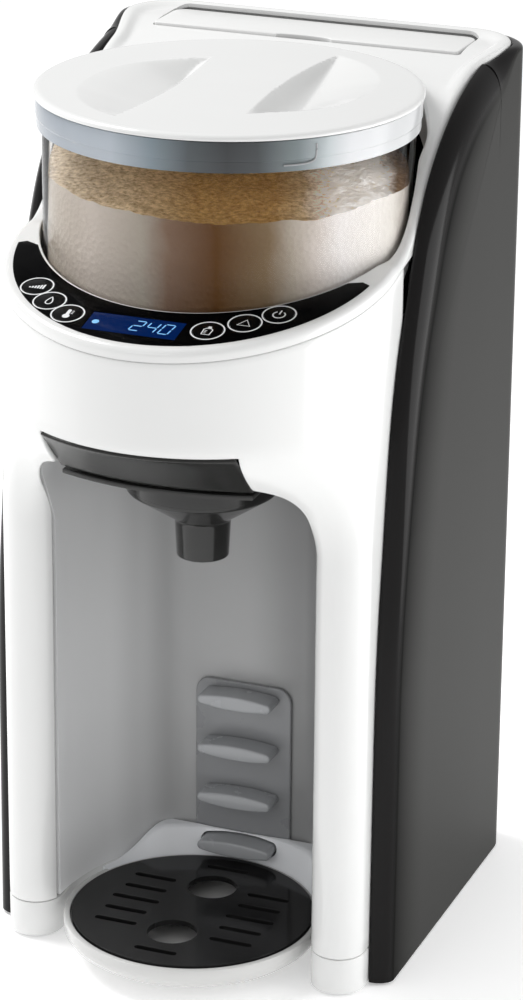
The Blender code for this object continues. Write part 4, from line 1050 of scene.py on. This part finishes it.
# ============================ bottle bay =================================
def build_liner():
    half = catmull([(BAY_X, -4.8), (59.6, 6.0), (56.4, 22.0), (49.8, 38.0), (42.0, 50.5), (36.4, 57.0), (30.0, 60.8), (22.0, BAY_BACK)], 6)
    half = [(p.x, p.y) for p in half] + [(14, BAY_BACK), (7, BAY_BACK), (0, BAY_BACK)]
    zs = [18.6] + [18.6 + (218.5 - 18.6) * i / 10 for i in range(1, 11)]
    zs += [218.5 + ARCH_R * sin(radians(a)) for a in range(10, 91, 10)]
    rows = []
    for z in zs:
        d = 0.0
        if z > 218.5:
            d = ARCH_R - sqrt(max(0.0, ARCH_R ** 2 - (z - 218.5) ** 2))
        # front lip follows the inside of the shell
        tb = t_at(max(edge_x(z), COVER_X), z)
        yf = face(tb, z)[1] + 2.7
        pts = []
        n = len(half)
        for i, (x, y) in enumerate(half):
            a, b = half[max(i - 1, 0)], half[min(i + 1, n - 1)]
            tx, ty = b[0] - a[0], b[1] - a[1]
            L = hypot(tx, ty)
            nx, ny = -ty / L, tx / L
            if nx > 0:
                nx, ny = -nx, -ny
            if i > n - 5:
                nx, ny = 0.0, -1.0
            dd = d * 0.8
            pts.append((max(0.0, x + nx * dd) if i < n - 1 else 0.0, y + ny * dd))
        x0 = pts[0][0]
        lead = []
        yf = min(yf, -5.0)
        for k in range(5):
            lead.append((x0 if z < 237 else x0, lerp(yf, pts[0][1], k / 5)))
        pts = lead + pts
        rows.append([W(x, y, z) for x, y in pts] + [W(-x, y, z) for x, y in reversed(pts[:-1])])
    bm = bmesh.new()
    V = grid(bm, rows)
    me = mesh_of("cavity_liner_skin", bm)
    bm = bmesh.new()
    bm.from_mesh(me)
    f = min(bm.faces, key=lambda q: -q.calc_center_median().y)
    if f.normal.y > 0:
        bmesh.ops.reverse_faces(bm, faces=bm.faces[:])
    bm.to_mesh(me)
    bm.free()
    obj = link("cavity_liner_skin", me, M["liner"], "base", "cavity_liner", angle=45)
    s = obj.modifiers.new("wall", 'SOLIDIFY')
    s.thickness = 1.8 * MM
    s.offset = -1
    bpy.context.view_layer.update()
    apply_all(obj)
    obj.data.shade_smooth()
    obj.data.set_sharp_from_angle(angle=radians(45))
    top = [(p[0], p[1]) for p in [(v.x / MM, v.y / MM + YC) for v in rows[-1]]]
    flat("bay_ceiling", [top, arc(0, FUN_Y, 14.3, 0, 352, 44), arc(20, 28, 3.8, 0, 340, 17)], BAY_TOP - 0.2, BAY_TOP + 1.4, PLAN, M["liner"], "base")
    return obj


build_liner()


def pill(z, half=PEG_HALF, mid=3.5, end=2.25, n=12):
    top = []
    for i in range(2 * n + 1):
        u = -1 + i / n
        top.append((u * (half - end), z + end + (mid - end) * (1 - u * u)))
    right = arc(half - end, z, end, 75, -75, 8)
    bot = [(x, 2 * z - zz) for x, zz in reversed(top)]
    left = arc(-(half - end), z, end, 255, 105, 8)
    return list(reversed(top + right + bot + left))


for i, z in enumerate(PEG_Z):
    flat(f"stand_peg_{i + 1}_skin", [pill(z)], -59.1, -PEG_Y, FRONT, M["peg"], "base", f"stand_peg_{i + 1}", bevel=1.0, seg=3)
flat("peg_panel_skin", [arc(16, 97, 7, 0, 90, 8) + arc(-16, 97, 7, 90, 180, 8) + [(-23, 22.5), (23, 22.5)]],
     -(BAY_BACK - 0.3), -59.4, FRONT, M["peg_panel"], "base", "peg_panel", bevel=0.8, seg=3)
for s, nm in ((1, "right"), (-1, "left")):
    pts = [(44.6, 238.0), (46.6, 238.0), (46.6, 229.6), (38.6, 229.6), (38.6, 231.8), (44.6, 231.8)]
    flat(f"funnel_rail_{nm}_skin", [[(s * x, z) for x, z in (pts if s > 0 else reversed(pts))]], -34, 10, FRONT, M["liner"], "base", f"funnel_rail_{nm}", bevel=0.35)

# ============================ tray =======================================
def build_tray():
    prof = [(0, 7.0), (46.0, 7.0), (49.5, 7.3), (52.6, 8.4), (55.2, 10.4), (56.6, 12.8), (57.0, 15.2), (57.0, 17.6), (56.75, 18.35), (56.2, 18.6),
            (54.9, 18.6), (54.3, 18.3), (54.2, 17.6), (54.2, 15.6), (53.9, 15.3), (52.5, 15.3), (52.3, 14.8), (52.3, 12.0), (51.4, 10.2), (49.6, 9.3), (47.5, 9.2), (0, 9.2)]
    turned("drip_cup", prof, 0, 0, M["cup"], "tray", "tray_cup", n=160)
    # crescent behind the disc and the shelf between it and the back wall
    bm = bmesh.new()
    NA, MR = 96, 24
    rows_t, rows_b = [], []
    for k in range(NA + 1):
        a = radians(24 + (156 - 24) * k / NA)
        xi, yi = 54.95 * cos(a), 54.95 * sin(a)
        # outer edge: along the bay wall
        ro = 57.0
        for _ in range(60):
            x, y = (ro + 0.2) * cos(a), (ro + 0.2) * sin(a)
            ax = abs(x)
            lim = 59.0
            wx = 58.9 if y < 6 else 55.7 - (y - 22) * 0.41 if y < 38 else 49.1 - (y - 38) * 0.62
            if y > 58.8 or ax > wx - 0.9:
                break
            ro += 0.2
        row = []
        for j in range(MR + 1):
            u = j / MR
            r = lerp(54.95, ro, u)
            x, y = r * cos(a), r * sin(a)
            rise = smooth((degrees(a) if a < pi / 2 else 180 - degrees(a)) / 60.0 - 0.42)
            top = 18.65 + 11.6 * smooth(rise * 1.9)
            w = min(4.2 + 3.2 * abs(cos(a)), (ro - 54.95) * 0.82)
            q = min(1.0, (r - 54.95) / w)
            z = lerp(18.65, top, q ** 0.85) + (0.55 * smooth((r - 54.95 - w) / 2.0) if q >= 1 else 0.0)
            row.append((x, y, z))
        rows_t.append(row)
    top_rows = [[W(*p) for p in r] for r in rows_t]
    V = grid(bm, top_rows)
    B = grid(bm, [[W(r[0][0], r[0][1], 14.0)] + [W(x, y, 14.0) for x, y, z in r[1:]] for r in rows_t])
    n = len(V)
    for i in range(n - 1):
        bm.faces.new((V[i][0], V[i + 1][0], B[i + 1][0], B[i][0]))
        bm.faces.new((V[i][-1], V[i + 1][-1], B[i + 1][-1], B[i][-1]))
    for j in range(MR):
        bm.faces.new((V[0][j], V[0][j + 1], B[0][j + 1], B[0][j]))
        bm.faces.new((V[-1][j], V[-1][j + 1], B[-1][j + 1], B[-1][j]))
    obj = link("tray_back", mesh_of("tray_back", bm), M["ramp"], "tray", "tray_cup", angle=35)
    cut(obj, outline_mesh("peg_slot", [pill(PEG_Z[3], PEG_HALF + 0.9, 4.3, 3.0)], -80, -40, FRONT))
    obj.data.shade_smooth()
    obj.data.set_sharp_from_angle(angle=radians(35))


build_tray()


def slot(cx, cy, half, r, n=6):
    return arc(cx + half - r, cy, r, -90, 90, n) + arc(cx - half + r, cy, r, 90, 270, n)


loops = [arc(0, 0, GRILLE_R, 0, 357.5, 143)]
loops += [arc(0, s * 23.2, 11.0, 0, 352.5, 47) for s in (-1, 1)]
for s in (-1, 1):
    for k in range(-2, 3):
        loops.append(slot(s * 27.2, 11.3 * k, 9.9 if k else 11.2, 1.5))
    loops.append(slot(0, s * 42.0, 9.9, 1.5))
flat("tray_grille_skin", loops, 16.6, GRILLE_Z, PLAN, M["grille"], "grille", "tray_grille", bevel=0.45, seg=2, angle=14)

# ============================ funnel =====================================
prof = round_profile([(33.2, 235.4), (33.2, 215.6), (12.2, 201.6), (11.3, 184.5), (9.9, 184.5), (10.6, 202.4), (31.6, 216.6), (31.6, 235.4)], 1.2, seg=4)
turned("funnel_body", prof, 0, FUN_Y, M["smoke"], "funnel", "funnel", n=112)
flat("funnel_flange", [[(-42.6, -39.4)] + [(x, -39.4 - 7.6 * (1 - (x / 42.6) ** 2)) for x in [-42.6 + 85.2 * i / 24 for i in range(1, 24)]] + [(42.6, -39.4), (42.6, 12.0)] + arc(0, 12, 42.6, 0, 180, 32)[1:-1] + [(-42.6, 12.0)],
                       arc(0, FUN_Y, 32.9, 0, 354, 59)], 232.4, 234.6, PLAN, M["smoke"], "funnel", bevel=0.5)


def build_cover():
    bm = bmesh.new()
    rows = []
    NX, NT = 48, 14
    for j in range(NT + 1):
        t = j / NT
        z = 256.4 - 20.4 * t
        r = []
        for i in range(NX + 1):
            x = -43.3 + 86.6 * i / NX
            y_up = NOSE_Y - sqrt((NOSE_R - 0.15) ** 2 - x * x)
            y_lo = -39.6 - 8.0 * (1 - (x / 43.3) ** 2)
            # slightly hollow face, rounded over at its top edge
            y = lerp(y_up, y_lo, t ** 1.06) + 0.9 * sin(pi * t)
            r.append(W(x, y, z))
        rows.append(r)
    grid(bm, rows)
    bmesh.ops.recalc_face_normals(bm, faces=bm.faces[:])
    f = bm.faces[:][0]
    if f.normal.y > 0:
        bmesh.ops.reverse_faces(bm, faces=bm.faces[:])
    me = mesh_of("funnel_cover_skin", bm, recalc=False)
    obj = link("funnel_cover_skin", me, M["smoke_cover"], "funnel", "funnel_cover")
    shell(obj, 1.7, bevel=0.45)


build_cover()

# ============================ container, powder, lid =====================
prof = round_profile([(HOP_R, 381.0), (HOP_R, 293.4), (76.6, 291.0), (6.0, 291.0), (6.0, 292.4), (75.8, 292.4), (77.2, 294.4), (77.2, 381.0)], 0.7, seg=3)
turned("powder_container_skin", prof, 0, HOP_Y, M["clear"], "container", "powder_container", n=192)
prof = round_profile([(80.95, 381.3), (80.95, 373.4), (80.55, 372.9), (80.55, 368.4), (78.9, 368.4), (78.9, 381.3)], 0.35, seg=3)
turned("lid_collar_skin", prof, 0, HOP_Y, M["collar"], "lid_ring", "lid_collar", n=192)


def build_powder():
    NA, NR = 300, 96
    R = 77.05
    bm = bmesh.new()
    c = None
    rings = []
    for j in range(1, NR + 1):
        r = R * j / NR
        ring = []
        for k in range(NA):
            a = 2 * pi * k / NA
            x, y = r * cos(a), r * sin(a)
            p = Vector((x, y, 0))
            u = (x * cos(radians(21.3)) + y * sin(radians(21.3))) / R
            v = (-x * sin(radians(21.3)) + y * cos(radians(21.3))) / R
            h = 349.2 - 2.6 * (r / R) ** 3 + 7.5 * smooth((-u - 0.15) / 0.9) * (0.65 + 0.35 * v) + 5.0 * smooth((v + 0.1) / 1.1) + 1.2 * smooth((u - 0.4) / 0.5)
            h += 1.7 * noise.noise(p * 0.035) + 0.9 * noise.noise(p * 0.11 + Vector((3, 1, 7)))
            h += 0.75 * abs(noise.noise(p * 0.42)) + 0.45 * abs(noise.noise(p * 0.9 + Vector((9, 4, 2))))
            ring.append(W(x, HOP_Y + y, h))
        rings.append(ring)
    V = grid(bm, rings, closed=True)
    mid = bm.verts.new(W(0, HOP_Y, 350.4))
    for k in range(NA):
        bm.faces.new((mid, V[0][k], V[0][(k + 1) % NA]))
    low = []
    for i in range(1, 5):
        low.append([W(R * cos(2 * pi * k / NA), HOP_Y + R * sin(2 * pi * k / NA), lerp(340.0, 304.5, (i - 1) / 3) if i > 1 else 339.5) for k in range(NA)])
    prev = V[-1]
    for r in low:
        cur = [bm.verts.new(p) for p in r]
        for k in range(NA):
            j = (k + 1) % NA
            bm.faces.new((prev[k], prev[j], cur[j], cur[k]))
        prev = cur
    bm.faces.new(prev)
    return link("powder_heap", mesh_of("powder_heap", bm), M["powder"], "container", "formula_powder", angle=60)


build_powder()


GRIP_IN = pchip([(-41, 24.2), (-30, 23.2), (-18, 22.0), (0, 20.4), (20, 20.0), (36, 20.6), (52, 22.0), (65, 24.2)])
GRIP_OUT = pchip([(-41, 24.4), (-35, 33.0), (-29, 41.5), (-20, 50.5), (-8, 56.2), (8, 58.6), (24, 57.6), (38, 52.5), (50, 44.5), (59, 35.0), (65, 24.4)])
GRIP_FOLD = pchip([(-41, 24.3), (-34, 29.5), (-20, 33.0), (0, 31.8), (20, 29.0), (40, 26.4), (65, 24.3)])


def grip_depth(x, y):
    """Depth of the two finger recesses at a lid point (about its centre)."""
    if x < 0:
        x, y = -x, -y
    if y <= -41 or y >= 65:
        return 0.0
    xi, xo, xv = GRIP_IN(y), GRIP_OUT(y), GRIP_FOLD(y)
    if x <= xi or x >= xo:
        return 0.0
    D = 9.0 * smooth((y + 43) / 22.0) * (1 - ((y + 12) / 77.0) ** 2 if y > -12 else 1.0) ** 0.85
    if x < xv:
        t = (x - xi) / max(0.3, xv - xi)
        return D * min(1.0, t * (1.7 - 0.7 * t))
    t = (x - xv) / max(0.3, xo - xv)
    return D * (1 - t) ** 1.0 * (1 - 0.28 * t)


def build_lid():
    NA = 384
    bm = bmesh.new()
    radii = [0.8 * j for j in range(1, 99)]
    rings = []
    for r in radii:
        ring = []
        for k in range(NA):
            a = 2 * pi * k / NA
            x, y = r * cos(a), r * sin(a)
            ring.append(W(x, HOP_Y + y, LID_Z - 0.25 * (r / 80) ** 2 - grip_depth(x, y)))
        rings.append(ring)
    tail = [(79.6, 384.28), (80.7, 384.05), (81.4, 383.6), (81.8, 383.0), (81.9, 382.4), (81.85, 381.95), (81.5, 381.75), (80.9, 381.7),
            (75.6, 381.7), (75.2, 381.3), (75.2, 373.0), (74.8, 372.6)]
    for r, z in tail:
        rings.append([W(r * cos(2 * pi * k / NA), HOP_Y + r * sin(2 * pi * k / NA), z) for k in range(NA)])
    V = grid(bm, rings, closed=True)
    mid = bm.verts.new(W(0, HOP_Y, LID_Z))
    for k in range(NA):
        bm.faces.new((mid, V[0][k], V[0][(k + 1) % NA]))
    bm.faces.new(V[-1])
    return link("container_lid_skin", mesh_of("container_lid_skin", bm), M["white"], "lid", "container_lid", angle=30)


build_lid()

# bayonet mark moulded on the collar
bm = bmesh.new()
pts = []
for ang, z in ((37.5, 371.2), (41.5, 371.2), (45.2, 371.6), (47.0, 373.0), (47.4, 376.0), (47.4, 379.2)):
    a = radians(ang)
    pts.append(W(81.0 * sin(a), HOP_Y - 81.0 * cos(a), z))
tubes(bm, catmull(pts, 5), 0.00042, n=8)
link("collar_bayonet_mark", mesh_of("collar_bayonet_mark", bm), M["grey"], "lid_ring")

# ============================ control overlay ============================
def overlay_outline():
    R1, R2, ymax = OV_R1, OV_R2, OV_Y
    a1 = degrees(atan2(ymax - NOSE_Y, sqrt(R1 ** 2 - (ymax - NOSE_Y) ** 2)))
    a2 = degrees(atan2(ymax - HOP_Y, sqrt(R2 ** 2 - (ymax - HOP_Y) ** 2)))
    o = arc(0, NOSE_Y, R1, 180 - a1 + 1.2, 360 + a1 - 1.2, 120)
    i = arc(0, HOP_Y, R2, 360 + a2 - 1.6, 180 - a2 + 1.6, 110)
    tip = lambda p, q, s: [((p[0] + q[0]) / 2 + s * 1.2, ymax + 0.1)]
    pts = o + tip(o[-1], i[0], 1) + i + tip(o[0], i[-1], -1)
    return [on_deck(x, y) for x, y in pts]


p0, p1 = on_deck(LCD[0], LCD[2]), on_deck(LCD[1], LCD[3])
loops = [overlay_outline()]
loops.append([(p0[0] - .12, p0[1] - .12), (p1[0] + .12, p0[1] - .12), (p1[0] + .12, p1[1] + .12), (p0[0] - .12, p1[1] + .12)])
for nm, (x, y) in KEYS.items():
    q = on_deck(x, y)
    loops.append(arc(q[0], q[1], 6.15, 0, 352.5, 47))
flat("control_overlay_skin", loops, -1.2, 0.0, DECK, M["overlay"], "base", "control_overlay", bevel=0.12, seg=2)
flat("lcd_display_skin", [[(p0[0] + .05, p0[1] + .05), (p1[0] - .05, p0[1] + .05), (p1[0] - .05, p1[1] - .05), (p0[0] + .05, p1[1] - .05)]], -1.1, -0.05, DECK, M["lcd"], "base", "lcd_display", bevel=0.1)

DK = lambda x, y, h=0.0: DECK @ Vector((x * MM, y * MM, h * MM))


def prints(name, shapes, body, mat, h0=0.02, h1=0.09):
    """Thin printed marks on the deck: outlines (filled) and wires."""
    bm = bmesh.new()
    for kind, pts, w in shapes:
        if kind == "fill":
            me = outline_mesh("tmp", [pts], h0, h1, DECK)
            bm.from_mesh(me)
            bpy.data.meshes.remove(me)
        elif kind == "ring":
            me = outline_mesh("tmp", [pts, w], h0, h1, DECK)
            bm.from_mesh(me)
            bpy.data.meshes.remove(me)
        else:
            closed = kind == "loop"
            n = len(pts)
            L, Rr = [], []
            for i in range(n):
                a = pts[(i - 1) % n] if closed or i > 0 else pts[0]
                b = pts[(i + 1) % n] if closed or i < n - 1 else pts[-1]
                tx, ty = b[0] - a[0], b[1] - a[1]
                l = hypot(tx, ty) or 1.0
                nx, ny = -ty / l * w / 2, tx / l * w / 2
                L.append((pts[i][0] + nx, pts[i][1] + ny))
                Rr.append((pts[i][0] - nx, pts[i][1] - ny))
            if closed:
                me = outline_mesh("tmp", [L, Rr], h0, h1, DECK)
            else:
                me = outline_mesh("tmp", [L + list(reversed(Rr))], h0, h1, DECK)
            bm.from_mesh(me)
            bpy.data.meshes.remove(me)
    return link(name, mesh_of(name, bm), mat, body, angle=20)


for nm, (x, y) in KEYS.items():
    cx, cy = on_deck(x, y)
    flat(nm + "_cap", [arc(cx, cy, 6.0, 0, 352.5, 47)], -0.37, 0.02, DECK, M["key"], nm, nm, bevel=0.16, seg=2)
    prints(nm + "_ring", [("ring", arc(cx, cy, 7.15, 0, 354, 59), arc(cx, cy, 6.5, 0, 354, 59))], "base", M["print"], 0.01, 0.07)
    sh = []
    if nm == "key_powder":
        for i in range(6):
            hgt = 0.9 + 0.55 * i
            xx = cx - 3.1 + 1.15 * i
            sh.append(("fill", [(xx, cy - 1.6), (xx + 0.8, cy - 1.6), (xx + 0.8, cy - 1.6 + hgt), (xx, cy - 1.6 + hgt * 0.9)], 0))
    elif nm == "key_water":
        pts = []
        for k in range(28):
            a = 2 * pi * k / 28
            r = 1.75
            px, py = r * sin(a) * (1 if cos(a) < 0 else (1 - cos(a)) ** 0.8), -0.5 + (-r * cos(a) * -1 if cos(a) < 0 else 3.0 * cos(a))
            pts.append((cx + px, cy + py))
        pts = [(cx + 1.9 * sin(radians(a)) * (sin(radians(a / 2)) ** 1.3), cy + 0.3 + 2.9 * cos(radians(a))) for a in range(0, 360, 12)]
        sh.append(("loop", pts[1:], 0.5))
    elif nm == "key_heat":
        bulb = arc(cx, cy - 2.0, 1.55, 120, 420, 24)
        sh.append(("fill", bulb + [(cx + 0.72, cy + 2.6)] + arc(cx, cy + 2.6, 0.72, 0, 180, 8)[1:], 0))
        for i in range(3):
            sh.append(("fill", [(cx + 1.25, cy + 0.1 + i), (cx + 2.2, cy + 0.1 + i), (cx + 2.2, cy + 0.45 + i), (cx + 1.25, cy + 0.45 + i)], 0))
    elif nm == "key_unit":
        sh.append(("loop", [(cx - 1.7, cy - 3.0), (cx + 1.7, cy - 3.0), (cx + 1.9, cy + 0.9), (cx + 1.0, cy + 1.8), (cx - 1.0, cy + 1.8), (cx - 1.9, cy + 0.9)], 0.5))
        sh.append(("fill", [(cx - 0.9, cy + 2.2), (cx + 0.9, cy + 2.2), (cx + 0.6, cy + 3.4), (cx - 0.6, cy + 3.4)], 0))
        for i in range(3):
            sh.append(("fill", [(cx - 1.3, cy - 2.1 + i), (cx - 0.2, cy - 2.1 + i), (cx - 0.2, cy - 1.75 + i), (cx - 1.3, cy - 1.75 + i)], 0))
    elif nm == "key_start":
        sh.append(("loop", [(cx - 2.7, cy - 1.9), (cx + 2.7, cy - 1.9), (cx, cy + 2.6)], 0.55))
    elif nm == "key_power":
        sh.append(("line", arc(cx, cy - 0.2, 2.5, 125, 415, 36), 0.55))
        sh.append(("fill", [(cx - 0.3, cy + 0.2), (cx + 0.3, cy + 0.2), (cx + 0.3, cy + 3.2), (cx - 0.3, cy + 3.2)], 0))
    prints(nm + "_icon", sh, nm, M["print"], 0.0, 0.07)

# display: three slanted seven-segment digits and a round mark
def seg_digit(ch, cx, cy, w, h, t, slant=0.16):
    on = {"0": "abcdef", "1": "bc", "2": "abged", "3": "abgcd", "4": "fgbc", "5": "afgcd", "6": "afgedc", "7": "abc", "8": "abcdefg", "9": "abcdfg"}[ch]
    out = []
    g = 0.22

    def bar(x0, y0, x1, y1):
        dx, dy = x1 - x0, y1 - y0
        L = hypot(dx, dy)
        ux, uy = dx / L, dy / L
        nx, ny = -uy, ux
        k = t / 2
        x0, y0, x1, y1 = x0 + ux * g, y0 + uy * g, x1 - ux * g, y1 - uy * g
        P = [(x0, y0), (x0 + ux * k - nx * k, y0 + uy * k - ny * k), (x1 - ux * k - nx * k, y1 - uy * k - ny * k), (x1, y1),
             (x1 - ux * k + nx * k, y1 - uy * k + ny * k), (x0 + ux * k + nx * k, y0 + uy * k + ny * k)]
        out.append(("fill", [(px + slant * (py - cy), py) for px, py in P], 0))
    l, r, b, m_, tt = cx - w / 2, cx + w / 2, cy - h / 2, cy, cy + h / 2
    S = {"a": (l, tt, r, tt), "b": (r, m_, r, tt), "c": (r, b, r, m_), "d": (l, b, r, b), "e": (l, b, l, m_), "f": (l, m_, l, tt), "g": (l, m_, r, m_)}
    for s in on:
        bar(*S[s])
    return out


lx, ly = (p0[0] + p1[0]) / 2, (p0[1] + p1[1]) / 2
sh = []
for i, ch in enumerate("240"):
    sh += seg_digit(ch, lx + 1.6 + 6.3 * i, ly + 0.2, 4.2, 7.4, 0.55)
prints("display_digits", sh, "base", M["lcd_seg"], -0.05, 0.03)
prints("display_mark", [("fill", arc(lx - 16.6, ly - 0.6, 1.5, 0, 345, 23), 0)], "base", M["lcd_seg"], -0.05, 0.03)

# ============================ back and inside ============================
def rrect(x0, x1, y0, y1, r, n=6):
    return arc(x1 - r, y0 + r, r, -90, 0, n) + arc(x1 - r, y1 - r, r, 0, 90, n) + arc(x0 + r, y1 - r, r, 90, 180, n) + arc(x0 + r, y0 + r, r, 180, 270, n)


flat("rear_cover_skin", [rrect(-57.7, 57.7, 18.4, 386.3, 1.2)] + [slot(0, 62 + 9 * k, 30, 2.0, 8) for k in range(6)]
     + [slot(0, 62 + 9 * k + 170, 22, 1.6, 8) for k in range(4)] + [rrect(26.8, 53.2, 23.8, 46.2, 1.5)],
     -165.0, -162.8, FRONT, M["dark"], "base", "rear_cover", bevel=0.5, seg=2, angle=14)
for i, (x, y) in enumerate(((-70, 134), (70, 134), (-72, 14), (72, 14))):
    prof = [(0, 0), (6.4, 0), (7.4, 0.3), (7.9, 0.9), (8.0, 1.6), (8.0, 2.9), (0, 2.9)]
    turned(f"rubber_foot_{i + 1}_skin", prof, x, y, M["rubber"], "base", f"rubber_foot_{i + 1}", n=40)

LOOK = {
    "bottom_plate": "grey", "chassis_frame": "grey", "display_board": "board", "main_board": "board", "dosing_motor": "steel",
    "drive_coupler": "grey", "drive_gear": "acetal", "gearbox_plate": "grey", "heater_hose": "silicone", "intake_hose": "silicone",
    "outlet_hose": "silicone", "mixing_wheel": "acetal", "motor_pinion": "acetal", "powder_chute": "acetal", "power_inlet": "overlay",
    "tank_lid_pin": "steel", "tank_valve": "grey", "water_heater": "steel", "water_nozzle": "acetal", "water_pump": "grey", "water_tank": "clear",
    "base_screw_1": "steel", "base_screw_2": "steel", "base_screw_3": "steel", "base_screw_4": "steel",
}
for nm, key in LOOK.items():
    me = NODES[nm].data
    me.materials.clear()
    me.materials.append(M[key])
